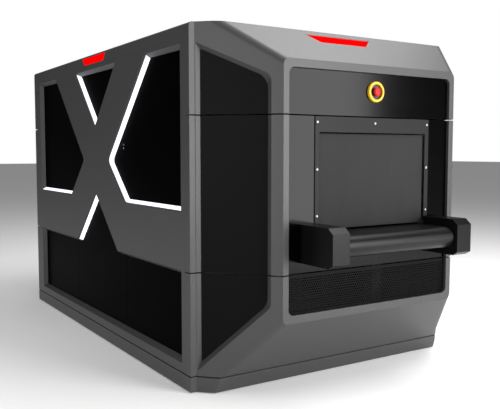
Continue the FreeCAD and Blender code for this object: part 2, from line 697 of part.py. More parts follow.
def reveal_edges(shape, places):
    """The sloping corner edges of a window that start at the given corners of the outer face."""
    found = []
    for number, edge in enumerate(shape.Edges, 1):
        ends = [vertex.Point for vertex in edge.Vertexes]
        if len(ends) == 2 and abs(ends[0].x - ends[1].x) > 1:
            if any((end - place).Length < 0.01 for end in ends for place in places):
                found.append(f"Edge{number}")
    return found


left_cover, window_corners = side_cover("left_cover")
node("left_side_cover", left_cover)
node("right_side_cover", to_right("right_cover", left_cover))


def shifted_path(points, gap):
    """The open path of points moved sideways by gap, with mitred corners (Y, Z plane)."""
    normals = []
    for start, end in zip(points, points[1:]):
        run = (end - start).normalize()
        normals.append(Vector(0, -run.z, run.y))
    moved = []
    for i, point in enumerate(points):
        before = normals[max(i - 1, 0)]
        after = normals[min(i, len(normals) - 1)]
        mitre = (before + after).normalize()
        moved.append(point + mitre * (gap / mitre.dot(before)))
    return moved


def rounded_run(points, radii):
    """Edges along points, with a tangent arc of the given radius at each rounded corner."""
    edges, here = [], points[0]
    for i in range(1, len(points) - 1):
        radius = radii[i]
        if radius:
            back = (points[i - 1] - points[i]).normalize()
            onward = (points[i + 1] - points[i]).normalize()
            half = math.acos(max(-1.0, min(1.0, back.dot(onward)))) / 2
            middle = (back + onward).normalize()
            start, end = (points[i] + way * (radius / math.tan(half)) for way in (back, onward))
            edges.append(Part.LineSegment(here, start).toShape())
            crest = points[i] + middle * (radius / math.sin(half) - radius)
            edges.append(Part.Arc(start, crest, end).toShape())
            here = end
        else:
            edges.append(Part.LineSegment(here, points[i]).toShape())
            here = points[i]
    edges.append(Part.LineSegment(here, points[-1]).toShape())
    return edges


def end_trim(corner, onward, aside, foot, gap):
    """How far a path shifted by gap is cut back, to stay clear of the reveal on the corner's other side."""
    angle = (onward - corner).getAngle(aside - corner)
    return max(0, (foot + 0.4 + gap * math.cos(angle)) / math.sin(angle))


def strip_ring(corners, order, inward, depth, radii):
    """The outline of a light strip in a plane that far below the cover's outer face."""
    points = [corners[i] for i in order]
    count = len(corners)
    beside = []
    for end, inner in ((order[0], order[1]), (order[-1], order[-2])):
        beside.append([corners[i % count] for i in (end - 1, end + 1) if i % count != inner][0])
    foot = depth * math.tan(math.radians(size("reveal_slope"))) + 0.4
    width = size("strip_width")
    near, far = (shifted_path(points, inward * gap) for gap in (foot, foot + width))
    for path, gap in ((near, foot), (far, foot + width)):
        first = end_trim(points[0], points[1], beside[0], foot, gap)
        last = end_trim(points[-1], points[-2], beside[1], foot, gap)
        path[0] = path[0] + (points[1] - points[0]).normalize() * first
        path[-1] = path[-1] - (points[-1] - points[-2]).normalize() * last
    lower = [radius and radius - width for radius in radii]
    edges = rounded_run(near, radii) + [Part.LineSegment(near[-1], far[-1]).toShape()]
    edges += rounded_run(far[::-1], lower[::-1]) + [Part.LineSegment(far[0], near[0]).toShape()]
    wire = Part.Wire(edges)
    wire.translate(Vector(depth, 0, 0))
    return wire


def light_strip(name, corners, order, inward, blunt=()):
    """A band of light lying on the sloping reveal along window edges, from the dark panel upwards."""
    radii = [size("window_corner") if i in blunt else 0 for i in order]
    deep = size("cover_depth")
    thing = unique("Part::Feature", name)
    thing.Shape = Part.makeLoft([strip_ring(corners, order, inward, deep - size("strip_height"), radii),
                                 strip_ring(corners, order, inward, deep, radii)], True, True)
    return thing


strips = [
    light_strip("front_strip", window_corners["front"], (2, 3, 4, 0), -1, BLUNT["front"]),
    light_strip("rear_strip", window_corners["rear"], (2, 3, 4, 0), 1, BLUNT["rear"]),
    light_strip("crown_strip", window_corners["crown"], (0, 2, 1), 1),
    light_strip("lower_strip", window_corners["lower"], (2, 3, 4), -1),
]
node("light_strips", group("strip_group", *strips, *(to_right(one.Name + "_right", one) for one in strips)))

PANEL_ENDS = ((COVER_END, "front_split - split_gap / 2"), ("front_split + split_gap / 2", "rear_split - split_gap / 2"),
              ("rear_split + split_gap / 2", f"-{COVER_END}"))
for side, (near, far) in (("left", (f"{LEFT} + cover_depth", f"-{FRAME_SIDE}")),
                          ("right", (FRAME_SIDE, f"{RIGHT} - cover_depth"))):
    panels = [block(f"{side}_panel_{i}", (near, far), ends, ("plinth_height + seam_gap / 2 + 12", f"{ROOF_SEAM} - 5"))
              for i, ends in enumerate(PANEL_ENDS)]
    node(f"{side}_side_panels", group(f"{side}_panel_group", *panels))

locks = []
for i, height in enumerate(("waist_height + 63", "waist_height + 81")):
    lock = rod(f"lock_{i}", "X", ("front_split + 14", height), (f"{LEFT} + cover_depth - 3", f"{LEFT} + cover_depth"),
               "4.5")
    locks += [lock, to_right(f"lock_{i}_right", lock)]
node("panel_locks", group("lock_group", *locks))

# ---------------------------------------------------------------- frame

POSTS = (FRAME_END, "(front_split - tube / 2)", "(rear_split - tube / 2)", f"(-{FRAME_END} - tube)")
HEAD = "(body_height - roof_wall)"
SIDES = {"left": (f"-{FRAME_SIDE}", f"tube - {FRAME_SIDE}"), "right": (f"{FRAME_SIDE} - tube", FRAME_SIDE)}
BETWEEN = (f"tube - {FRAME_SIDE}", f"{FRAME_SIDE} - tube")
bars = []
for side, xs in SIDES.items():
    for i, start in enumerate(POSTS):
        bars.append(block(f"post_{side}_{i}", xs, (start, f"{start} + tube"), ("frame_foot", f"{HEAD} - 9")))
    for i, (start, end) in enumerate(zip(POSTS, POSTS[1:])):
        run = (f"{start} + tube", end)
        bars.append(block(f"sill_{side}_{i}", xs, run, ("frame_foot", "frame_foot + tube")))
        bars.append(block(f"head_{side}_{i}", xs, run, (f"{HEAD} - 9 - tube", f"{HEAD} - 9")))
for i, start in enumerate(POSTS):
    row = (start, f"{start} + tube")
    bars.append(block(f"roof_bar_{i}", BETWEEN, row, (f"{HEAD} - tube", HEAD)))
    for side, middle in (("left", "tunnel_shift - 300"), ("right", "tunnel_shift + 300")):
        bars.append(block(f"tunnel_leg_{side}_{i}", (f"{middle} - tube / 2", f"{middle} + tube / 2"), row,
                          ("frame_foot + tube", "shield_floor - shield_wall")))
for i, start in enumerate(POSTS + ("-900", "-640", "-140", "stand_near")):
    bars.append(block(f"floor_bar_{i}", BETWEEN, (start, f"{start} + tube"), ("frame_foot", "frame_foot + tube")))
node("base_frame", group("frame_weldment", *bars))

feet = []
for side, x in (("left", f"tube / 2 - {FRAME_SIDE}"), ("right", f"{FRAME_SIDE} - tube / 2")):
    for i, start in enumerate(POSTS):
        middle = (x, f"{start} + tube / 2")
        pad = rod(f"foot_pad_{side}_{i}", "Z", middle, ("0", "12"), "foot_radius")
        stud = rod(f"foot_stud_{side}_{i}", "Z", middle, ("10", "frame_foot"), "10")
        nut = rod(f"foot_nut_{side}_{i}", "Z", middle, ("frame_foot - 14", "frame_foot"), "17")
        feet.append(fuse(f"foot_{side}_{i}", pad, stud, nut))
node("levelling_feet", group("foot_group", *feet))

# ---------------------------------------------------------------- dark end panels, trim and screws

PANEL_X = (f"{BEZEL_LEFT} + bezel_side - panel_lap", f"{BEZEL_RIGHT} - bezel_side + panel_lap")
PANEL_Y = (FACE, f"{FACE} + panel_wall")


def rectangle(xs, zs):
    return [(xs[0], zs[0]), (xs[1], zs[0]), (xs[1], zs[1]), (xs[0], zs[1])]


upper_panel = prism("upper_panel", "XZ", rectangle(PANEL_X, ("upper_seam + seam_gap / 2",
                                                             "brow_height - bezel_rail + panel_lap")), PANEL_Y,
                    circles=[((MIDDLE, "stop_height"), "stem_radius + fit_gap")])
node("front_face_panel", upper_panel)
node("rear_face_panel", to_rear("rear_upper_panel", upper_panel))

MOUTH = [(f"{MIDDLE} - shield_half", "housing_foot + 18"), (f"{MIDDLE} + shield_half", "housing_foot + 18"),
         (f"{MIDDLE} + shield_half", "housing_top - 10"), (f"{MIDDLE} + mouth_half + 1.5", "housing_top - 10"),
         (f"{MIDDLE} + mouth_half + 1.5", "mouth_top + 2"), (f"{MIDDLE} - mouth_half - 1.5", "mouth_top + 2"),
         (f"{MIDDLE} - mouth_half - 1.5", "housing_top - 10"), (f"{MIDDLE} - shield_half", "housing_top - 10")]
tunnel_panel = prism("tunnel_panel", "XZ", rectangle(PANEL_X, TIERS["middle"]), PANEL_Y, holes=[MOUTH])
node("front_tunnel_panel", tunnel_panel)
node("rear_tunnel_panel", to_rear("rear_mouth_panel", tunnel_panel))


def perforated(name):
    """The grille under the belt: staggered round holes in a flat sheet."""
    thing = unique("Part::Feature", name)
    left = size("corner_strip") + size("left_set") + size("bezel_side") - size("body_width") / 2
    right = size("body_width") / 2 - size("right_set") - size("bezel_side")
    foot = size("chin_height") + size("bezel_rail")
    head = size("lower_seam") - size("seam_gap") / 2
    lap = size("panel_lap")
    pitch, margin = size("hole_pitch"), size("hole_margin")
    border = Part.makePolygon([Vector(left - lap, 0, foot - lap), Vector(right + lap, 0, foot - lap),
                               Vector(right + lap, 0, head), Vector(left - lap, 0, head),
                               Vector(left - lap, 0, foot - lap)])
    rise = pitch * math.sqrt(3) / 2
    rows = int((head - foot - 2 * margin) / rise)
    columns = int((right - left - 2 * margin) / pitch)
    holes = []
    for row in range(rows):
        for column in range(columns - row % 2):
            middle = Vector(left + margin + pitch * (column + 0.5 + 0.5 * (row % 2)), 0, foot + margin + rise * (row + 0.5))
            holes.append(Part.Wire(Part.makeCircle(size("hole_radius"), middle, Vector(0, 1, 0))))
    face = Part.Face([border] + holes, "Part::FaceMakerBullseye")
    thing.Shape = face.extrude(Vector(0, size("panel_wall"), 0))
    thing.Placement = Placement(Vector(0, size("recess") - size("body_length") / 2 - size("nose_depth"), 0),
                                Rotation())
    print("perforation:", rows, "rows,", len(holes), "holes")
    return thing


front_grille = perforated("front_grille")
node("grilles", group("grille_group", front_grille, to_rear("rear_grille", front_grille)))

TRIM_Y = (f"{FACE} - trim_wall", FACE)
TRIM_OUT = "(mouth_half + trim_side)"
front_trim = prism("front_trim", "XZ", [
    (f"{MIDDLE} - {TRIM_OUT}", "housing_top + 2"), (f"{MIDDLE} - mouth_half", "housing_top + 2"),
    (f"{MIDDLE} - mouth_half", "mouth_top"), (f"{MIDDLE} + mouth_half", "mouth_top"),
    (f"{MIDDLE} + mouth_half", "housing_top + 2"), (f"{MIDDLE} + {TRIM_OUT}", "housing_top + 2"),
    (f"{MIDDLE} + {TRIM_OUT}", "upper_seam - seam_gap / 2"), (f"{MIDDLE} - {TRIM_OUT}", "upper_seam - seam_gap / 2"),
], TRIM_Y)
node("tunnel_trims", group("trim_group", front_trim, to_rear("rear_trim", front_trim)))

SCREW_X = {"left": f"{MIDDLE} - mouth_half - trim_side / 2", "right": f"{MIDDLE} + mouth_half + trim_side / 2"}
SCREW_PLACES = [(SCREW_X["left"], height) for height in ("1146", "948", "751")]
SCREW_PLACES += [(SCREW_X["right"], height) for height in ("1146", "948", "751")]
SCREW_PLACES.append((MIDDLE, "1146"))
screws = []
for i, place in enumerate(SCREW_PLACES):
    head = turned(f"screw_{i}", "Y", place, [("0", "0"), ("0", "5.5"), ("0 - 1.2", "5.5"), ("0 - 2.8", "3.2"),
                                             ("0 - 2.8", "0")])
    bind(head, Placement__Base__y=f"{FACE} - trim_wall")
    screws += [head, to_rear(f"screw_{i}_rear", head)]
node("trim_screws", group("screw_group", *screws))

# ---------------------------------------------------------------- curtains and stop buttons

CURTAIN_Y = f"({FACE} + curtain_back)"
sheet_span = (f"{CURTAIN_Y} - curtain_wall / 2", f"{CURTAIN_Y} + curtain_wall / 2")
flap = prism("curtain_flap", "XZ", rectangle((f"{MIDDLE} - curtain_half", f"{MIDDLE} + curtain_half"),
                                             ("curtain_foot", "curtain_axis + 1")), sheet_span,
             rounds=[("15", 0, (0, 1))])
curtain = fuse("curtain", flap, rod("curtain_bar", "X", (CURTAIN_Y, "curtain_axis"),
                                    (f"{MIDDLE} - shield_half + 10", f"{MIDDLE} + shield_half - 10"), "curtain_rod"))
node("front_curtain", curtain)
node("rear_curtain", to_rear("curtain_rear", curtain))

brackets = []
for side, xs in (("left", (f"{MIDDLE} - shield_half", f"{MIDDLE} - shield_half + 22")),
                 ("right", (f"{MIDDLE} + shield_half - 22", f"{MIDDLE} + shield_half"))):
    ear = cut(f"curtain_ear_{side}",
              block(f"curtain_ear_block_{side}", xs, (f"{FACE} + panel_wall", f"{CURTAIN_Y} + 9"),
                    ("curtain_axis - 11", "mouth_top + 2")),
              rod(f"curtain_ear_bore_{side}", "X", (CURTAIN_Y, "curtain_axis"), (f"{xs[0]} - 1", f"{xs[1]} + 1"),
                  "curtain_rod + fit_gap"))
    brackets += [ear, to_rear(ear.Name + "_rear", ear)]
node("curtain_brackets", group("bracket_group", *brackets))

collar = turned("stop_collar", "Y", (MIDDLE, "stop_height"), [
    ("0", "collar_bore"), ("0", "collar_radius"), ("4 - collar_height", "collar_radius"),
    ("0 - collar_height", "collar_radius - 5"), ("0 - collar_height", "collar_bore + 3"),
    ("3 - collar_height", "collar_bore")])
bind(collar, Placement__Base__y=FACE)
node("stop_collars", group("collar_group", collar, to_rear("rear_collar", collar)))

button = turned("stop_button", "Y", (MIDDLE, "stop_height"), [
    ("26", "0"), ("26", "stem_radius"), ("-8", "stem_radius"), ("-8", "button_radius - 4"),
    ("-11", "button_radius"), ("-15", "button_radius"), ("-20", "button_radius - 6"), ("-22", "0")])
bind(button, Placement__Base__y=FACE)
node("front_stop_button", button)
node("rear_stop_button", to_rear("button_rear", button))

# ---------------------------------------------------------------- conveyor

HOUSING_END = f"({FRONT} - housing_reach)"


def housing_side(wall):
    """A conveyor housing seen from the side, with both ends of its nose bevelled."""
    end = f"({HOUSING_END} + {wall})"
    return [(f"{FACE} + {wall}", f"housing_foot + {wall}"),
            (f"{end} + foot_cut_run", f"housing_foot + {wall}"),
            (end, f"housing_foot + foot_cut_rise + {wall} / 2"), (end, f"housing_top - top_cut_drop - {wall} / 2"),
            (f"{end} + top_cut_run", f"housing_top - {wall}"), (f"{FACE} + {wall}", f"housing_top - {wall}")]


housings = []
for side, sign in (("left", "-"), ("right", "+")):
    if side == "left":
        outside = (f"{MIDDLE} - housing_in - housing_width", f"{MIDDLE} - housing_in")
    else:
        outside = (f"{MIDDLE} + housing_in", f"{MIDDLE} + housing_in + housing_width")
    inside = (f"{outside[0]} + housing_wall", f"{outside[1]} - housing_wall")
    solid = prism(f"housing_{side}_solid", "YZ", housing_side("0"), outside)
    hollow = prism(f"housing_{side}_hollow", "YZ", housing_side("housing_wall"), inside)
    mouth = block(f"housing_{side}_mouth", inside, (f"{FACE} - 1", f"{FACE} + 6"),
                  ("housing_foot + housing_wall", "housing_top - housing_wall"))
    back = block(f"housing_{side}_back", (f"{outside[0]} - 1", f"{outside[1]} + 1"), (FACE, f"{FACE} + 20"),
                 ("housing_foot - 1", "housing_top + 1"))
    eye = rod(f"housing_{side}_eye", "X", (f"{FRONT} - roller_reach", ROLLER_AXIS),
              (f"{MIDDLE} {sign} housing_in - housing_wall - 1", f"{MIDDLE} {sign} housing_in + housing_wall + 1"),
              "axle_radius + 2")
    housings.append(cut(f"housing_{side}", solid, hollow, mouth, back, eye))
node("front_conveyor_housings", group("housing_group", *housings))
node("rear_conveyor_housings", group("rear_housing_group",
                                     *(to_rear(one.Name + "_rear", one) for one in housings)))

RAIL_END = f"({FRONT} - rail_reach)"
RAIL_NEAR = "(housing_in + housing_wall)"
RAIL_TOP = f"({SEAT} - bed_wall)"
END_ROLLER_Y = f"({FRONT} - roller_reach)"
rails = []
for side, sign in (("left", "-"), ("right", "+")):
    web = [f"{MIDDLE} {sign} {RAIL_NEAR}", f"{MIDDLE} {sign} ({RAIL_NEAR} + rail_width)"]
    groove = [f"{MIDDLE} {sign} ({RAIL_NEAR} + rail_web)", f"{MIDDLE} {sign} ({RAIL_NEAR} + rail_width + 1)"]
    eye = [f"{MIDDLE} {sign} ({RAIL_NEAR} - 1)", f"{MIDDLE} {sign} ({RAIL_NEAR} + rail_web + 1)"]
    if side == "left":
        web, groove, eye = web[::-1], groove[::-1], eye[::-1]
    rails.append(cut(
        f"rail_{side}", block(f"rail_{side}_bar", web, (RAIL_END, f"-{RAIL_END}"), ("rail_foot", RAIL_TOP)),
        block(f"rail_{side}_groove", groove, (f"{RAIL_END} - 1", f"1 - {RAIL_END}"),
              ("rail_foot + rail_lip", f"{RAIL_TOP} - rail_lip")),
        rod(f"rail_{side}_front_eye", "X", (END_ROLLER_Y, ROLLER_AXIS), eye, "bearing_radius"),
        rod(f"rail_{side}_rear_eye", "X", (f"-{END_ROLLER_Y}", ROLLER_AXIS), eye, "axle_radius")))
node("conveyor_rails", group("rail_group", *rails))


def bed(name, half, ys):
    """A slider bed: a flat sheet with both long edges folded down."""
    top = block(name + "_top", (f"{MIDDLE} - {half}", f"{MIDDLE} + {half}"), ys, (f"{SEAT} - bed_wall - bed_fold", SEAT))
    under = block(name + "_under", (f"{MIDDLE} - {half} + bed_wall", f"{MIDDLE} + {half} - bed_wall"),
                  (f"{ys[0]} - 1", f"{ys[1]} + 1"), (f"{SEAT} - bed_wall - bed_fold - 1", f"{SEAT} - bed_wall"))
    return cut(name, top, under)


main_bed = bed("front_bed", "(housing_in + housing_wall - 0.3)", (f"{FACE} + 0.5", "-scan_half - 0.5"))
nose_bed = bed("nose_bed", "(housing_in - 0.3)", (f"{FRONT} - bed_reach", FACE))
node("bed_plates", group("bed_group", main_bed, nose_bed, to_rear("rear_bed", main_bed),
                         to_rear("rear_nose_bed", nose_bed)))
node("scan_window", bed("scan_window_sheet", "(housing_in + housing_wall - 0.3)", ("-scan_half", "scan_half")))


def loop_solid(name, radius, half):
    """A flat loop filled in: two round ends and the straight run between them."""
    across = (f"{MIDDLE} - {half}", f"{MIDDLE} + {half}")
    ends = [rod(f"{name}_{place}", "X", (y, ROLLER_AXIS), across, radius)
            for place, y in (("front", END_ROLLER_Y), ("rear", f"-{END_ROLLER_Y}"))]
    run = block(f"{name}_run", across, (END_ROLLER_Y, f"-{END_ROLLER_Y}"),
                (f"{ROLLER_AXIS} - ({radius})", f"{ROLLER_AXIS} + ({radius})"))
    return fuse(name, run, *ends)


node("conveyor_belt", cut("belt_loop", loop_solid("belt_outside", "nose_radius + belt_gap + belt_wall", "belt_half"),
                          loop_solid("belt_inside", "nose_radius + belt_gap", "(belt_half + 1)")))

JOURNAL_END = f"({RAIL_NEAR} + rail_web + 3)"
nose_roller = turned("nose_roller_body", "X", (END_ROLLER_Y, ROLLER_AXIS), [
    (f"{MIDDLE} - {JOURNAL_END}", "0"), (f"{MIDDLE} - {JOURNAL_END}", "journal"),
    (f"{MIDDLE} - roller_half", "journal"), (f"{MIDDLE} - roller_half", "nose_radius"),
    (f"{MIDDLE} + roller_half", "nose_radius"), (f"{MIDDLE} + roller_half", "journal"),
    (f"{MIDDLE} + {JOURNAL_END}", "journal"), (f"{MIDDLE} + {JOURNAL_END}", "0")])
node("nose_roller", cut("nose_roller_tube", nose_roller, rod(
    "nose_roller_cavity", "X", (END_ROLLER_Y, ROLLER_AXIS),
    (f"{MIDDLE} - roller_half + 12", f"{MIDDLE} + roller_half - 12"), "nose_radius - roller_wall")))
bearings = []
for side, start in (("left", f"{MIDDLE} - {RAIL_NEAR} - rail_web"), ("right", f"{MIDDLE} + {RAIL_NEAR}")):
    bearings.append(cut(f"nose_bearing_{side}",
                        rod(f"nose_bearing_{side}_ring", "X", (END_ROLLER_Y, ROLLER_AXIS), (start, f"{start} + rail_web"),
                            "bearing_radius"),
                        rod(f"nose_bearing_{side}_bore", "X", (END_ROLLER_Y, ROLLER_AXIS),
                            (f"{start} - 1", f"{start} + rail_web + 1"), "journal + fit_gap")))
node("nose_bearings", group("nose_bearing_group", *bearings))

DRUM_Y = f"-{END_ROLLER_Y}"
node("drive_drum", cut(
    "drum", turned("drum_shell", "X", (DRUM_Y, ROLLER_AXIS), [
        (f"{MIDDLE} - roller_half", "axle_radius + fit_gap"), (f"{MIDDLE} - roller_half", "nose_radius"),
        (f"{MIDDLE} + roller_half", "nose_radius"), (f"{MIDDLE} + roller_half", "axle_radius + fit_gap")]),
    rod("drum_cavity", "X", (DRUM_Y, ROLLER_AXIS), (f"{MIDDLE} - roller_half + 12", f"{MIDDLE} + roller_half - 12"),
        "nose_radius - drum_wall")))
STATOR_END = "(roller_half - 30)"
AXLE_END = f"({RAIL_NEAR} + rail_web)"
node("drum_stator", turned("drum_stator_body", "X", (DRUM_Y, ROLLER_AXIS), [
    (f"{MIDDLE} - {AXLE_END}", "0"), (f"{MIDDLE} - {AXLE_END}", "axle_radius"),
    (f"{MIDDLE} - {STATOR_END}", "axle_radius"), (f"{MIDDLE} - {STATOR_END}", "stator_radius"),
    (f"{MIDDLE} + {STATOR_END}", "stator_radius"), (f"{MIDDLE} + {STATOR_END}", "axle_radius"),
    (f"{MIDDLE} + {AXLE_END}", "axle_radius"), (f"{MIDDLE} + {AXLE_END}", "0")]))

RETURN_AXIS = f"({ROLLER_AXIS} - nose_radius - 2 * belt_gap - belt_wall - return_radius)"
hangers = []
for end, y in (("front", "-return_place"), ("rear", "return_place")):
    node(f"{end}_return_roller", turned(f"{end}_return_body", "X", (y, RETURN_AXIS), [
        (f"{MIDDLE} - {RAIL_NEAR} - 22", "0"), (f"{MIDDLE} - {RAIL_NEAR} - 22", "return_journal"),
        (f"{MIDDLE} - roller_half", "return_journal"), (f"{MIDDLE} - roller_half", "return_radius"),
        (f"{MIDDLE} + roller_half", "return_radius"), (f"{MIDDLE} + roller_half", "return_journal"),
        (f"{MIDDLE} + {RAIL_NEAR} + 22", "return_journal"), (f"{MIDDLE} + {RAIL_NEAR} + 22", "0")]))
    for side, xs in (("left", (f"{MIDDLE} - {RAIL_NEAR} - 26", f"{MIDDLE} - {RAIL_NEAR} - 2")),
                     ("right", (f"{MIDDLE} + {RAIL_NEAR} + 2", f"{MIDDLE} + {RAIL_NEAR} + 26"))):
        hangers.append(cut(f"hanger_{end}_{side}",
                           block(f"hanger_{end}_{side}_block", xs, (f"{y} - 30", f"{y} + 30"),
                                 ("shield_floor", "rail_foot")),
                           rod(f"hanger_{end}_{side}_bore", "X", (y, RETURN_AXIS), (f"{xs[0]} - 1", f"{xs[1]} + 1"),
                               "return_journal + fit_gap")))
node("roller_brackets", group("hanger_group", *hangers))

# ---------------------------------------------------------------- shield tunnels and bore liner


def tunnel_box(name, half, zs, ys):
    return block(name, (f"{MIDDLE} - {half}", f"{MIDDLE} + {half}"), ys, zs)


SHIELD_Z = ("shield_floor - shield_wall", "mouth_top + 2 + shield_wall")
SHIELD_END = "(-shield_end + shield_wall)"
front_shield = cut(
    "shield", fuse("shield_solid", tunnel_box("shield_tube", "(shield_half + shield_wall)", SHIELD_Z,
                                              (f"{FACE} + panel_wall", SHIELD_END)),
                   tunnel_box("shield_plate", "end_plate_half", ("axis_height - end_plate_half",
                                                                 "axis_height + end_plate_half"),
                              ("-shield_end", SHIELD_END))),
    tunnel_box("shield_way", "shield_half", ("shield_floor", "mouth_top + 2"), (f"{FACE} - 1", f"{SHIELD_END} + 1")))
node("front_shield", front_shield)
node("rear_shield", to_rear("shield_rear", front_shield))


def ring(name, inside, outside, ys, height="axis_height"):
    """A plain ring about the gantry axis."""
    return cut(name, rod(name + "_disc", "Y", (MIDDLE, height), ys, outside),
               rod(name + "_bore", "Y", (MIDDLE, height), (f"{ys[0]} - 1", f"{ys[1]} + 1"), inside))


node("bore_liner", ring("bore_liner_tube", "bore_radius", "bore_radius + bore_wall", (SHIELD_END, f"-{SHIELD_END}")))

# ---------------------------------------------------------------- gantry

STAND_Y = ("stand_near", "stand_near + stand_depth")
node("gantry_stand", prism("stand", "XZ", [
    (f"{MIDDLE} - stand_half", "frame_foot + tube"), (f"{MIDDLE} + stand_half - 30", "frame_foot + tube"),
    (f"{MIDDLE} + stand_half", "axis_height - 350"),
    (f"{MIDDLE} + stand_half", "axis_height + 200"), (f"{MIDDLE} + stand_half - 200", "stand_top"),
    (f"{MIDDLE} - stand_half + 200", "stand_top"), (f"{MIDDLE} - stand_half", "axis_height + 200")],
    STAND_Y, circles=[((MIDDLE, "axis_height"), "race_radius")]))
RACE_Y = ("stand_near + 5", "stand_near + stand_depth - 5")
node("gantry_bearing", ring("main_bearing", "hub_radius + race_gap", "race_radius", RACE_Y))

HUB_END = "(stand_near + stand_depth - 5)"
DISC_BACK = "(disc_face + disc_wall)"
node("gantry_rotor", turned("rotor", "Y", (MIDDLE, "axis_height"), [
    ("disc_face", "hub_bore"), (HUB_END, "hub_bore"), (HUB_END, "hub_radius"), (DISC_BACK, "hub_radius"),
    (DISC_BACK, "rotor_radius"), ("disc_face - 10", "rotor_radius"), ("disc_face - 10", "rotor_radius - 10"),
    ("disc_face", "rotor_radius - 10")]))
UNIT_Y = ("unit_near", "disc_face")
TUBE_RADIUS = "((rotor_radius - hub_bore) / 2 - 8)"
TUBE_RISE = "(axis_height + hub_bore + 4 + (rotor_radius - hub_bore) / 2 - 8)"
node("x_ray_tube", fuse("tube_unit", rod("tube_can", "Y", (MIDDLE, TUBE_RISE), UNIT_Y, TUBE_RADIUS),
                        block("tube_port", (f"{MIDDLE} - 60", f"{MIDDLE} + 60"), ("-70", "10"),
                              ("axis_height + hub_bore + 8", TUBE_RISE)),
                        rod("tube_cap", "Y", (MIDDLE, TUBE_RISE), ("unit_near - 18", "unit_near + 1"),
                            f"{TUBE_RADIUS} - 12")))
arc_outer = rod("detector_outside", "Y", (MIDDLE, "axis_height"), ("-90", "disc_face"), "hub_bore + 66", 110)
arc_inner = rod("detector_inside", "Y", (MIDDLE, "axis_height"), ("-91", "disc_face + 1"), "hub_bore + 14")
arc_outer.Placement = Placement(Vector(), Rotation(Vector(1, 0, 0), -90).multiply(Rotation(Vector(0, 0, 1), 35)))
node("detector_arc", cut("detectors", arc_outer, arc_inner))
node("hv_generator", block("generator", (f"{MIDDLE} + hub_bore + 6", f"{MIDDLE} + rotor_radius - 18"), UNIT_Y,
                           ("axis_height - unit_half", "axis_height + unit_half")))
node("counterweight", block("weight", (f"{MIDDLE} - rotor_radius + 18", f"{MIDDLE} - hub_bore - 6"),
                            ("-60", "disc_face"), ("axis_height - unit_half", "axis_height + unit_half")))
SLIP_Y = (HUB_END, f"{HUB_END} + 36")
node("slip_ring", turned("slip_ring_body", "Y", (MIDDLE, "axis_height"), [
    (SLIP_Y[0], "hub_bore"), (SLIP_Y[1], "hub_bore"), (SLIP_Y[1], "hub_radius + 8"),
    (f"{HUB_END} + 28", "hub_radius + 8"), (f"{HUB_END} + 28", "hub_radius + 4"),
    (f"{HUB_END} + 20", "hub_radius + 4"), (f"{HUB_END} + 20", "hub_radius + 8"),
    (f"{HUB_END} + 12", "hub_radius + 8"), (f"{HUB_END} + 12", "hub_radius + 4"),
    (f"{HUB_END} + 8", "hub_radius + 4"), (f"{HUB_END} + 8", "hub_radius"), (SLIP_Y[0], "hub_radius")]))
node("brush_block", block("brushes", (f"{MIDDLE} - 60", f"{MIDDLE} + 60"),
                          ("stand_near + stand_depth", "stand_near + stand_depth + 32"),
                          ("axis_height + hub_radius + 10", "axis_height + race_radius + 35")))

PULLEY_Y = ("disc_face - 6", f"{DISC_BACK} - 3")
motor_body = fuse("motor_unit",
                  rod("motor_can", "Y", ("motor_x", "motor_z"), ("-150", "80"), "motor_radius"),
                  rod("motor_shaft", "Y", ("motor_x", "motor_z"), ("79", f"{PULLEY_Y[1]} + 4"), "14"),
                  block("motor_plinth", ("motor_x - 60", "motor_x + 60"), ("-140", "-80"),
                        ("frame_foot + tube", "motor_z")))
node("gantry_motor", motor_body)
pulley = cut("pulley", rod("pulley_disc", "Y", ("motor_x", "motor_z"), PULLEY_Y, "pulley_radius"),
             rod("pulley_bore", "Y", ("motor_x", "motor_z"), (f"{PULLEY_Y[0]} - 1", f"{PULLEY_Y[1]} + 1"),
                 "14 + fit_gap"))
node("motor_pulley", pulley)


def belt_ring(grow):
    """The closed line of the drive belt: two arcs and the two straight runs that touch both circles."""
    big = Vector(size("tunnel_shift"), 0, size("axis_height"))
    small = Vector(size("motor_x"), 0, size("motor_z"))
    big_radius = size("rotor_radius") + size("belt_gap") + grow
    small_radius = size("pulley_radius") + size("belt_gap") + grow
    run = small - big
    heading = math.atan2(run.z, run.x)
    spread = math.acos((big_radius - small_radius) / run.Length)

    def on(middle, radius, angle):
        return middle + Vector(math.cos(angle), 0, math.sin(angle)) * radius

    big_ends = [on(big, big_radius, heading + way * spread) for way in (1, -1)]
    small_ends = [on(small, small_radius, heading + way * spread) for way in (1, -1)]
    return Part.Wire([
        Part.Arc(big_ends[0], on(big, big_radius, heading + math.pi), big_ends[1]).toShape(),
        Part.LineSegment(big_ends[1], small_ends[1]).toShape(),
        Part.Arc(small_ends[1], on(small, small_radius, heading), small_ends[0]).toShape(),
        Part.LineSegment(small_ends[0], big_ends[0]).toShape()])


drive_belt = unique("Part::Feature", "drive_belt")
belt_face = Part.Face([belt_ring(size("drive_belt_wall")), belt_ring(0)], "Part::FaceMakerBullseye")
drive_belt.Shape = belt_face.extrude(Vector(0, size("disc_wall"), 0))
drive_belt.Placement = Placement(Vector(0, size("disc_face") - 3, 0), Rotation())
node("gantry_belt", drive_belt)

node("control_cabinet", cut(
    "cabinet", block("cabinet_box", (f"tube + 5 - {FRAME_SIDE}", f"{MIDDLE} - shield_half - 60"), ("-880", "-600"),
                     ("frame_foot + tube", "axis_height + 80")),
    block("cabinet_hollow", (f"tube + 7 - {FRAME_SIDE}", f"{MIDDLE} - shield_half - 62"), ("-878", "-602"),
          ("frame_foot + tube + 2", "axis_height + 78"))))

# ---------------------------------------------------------------- check and write

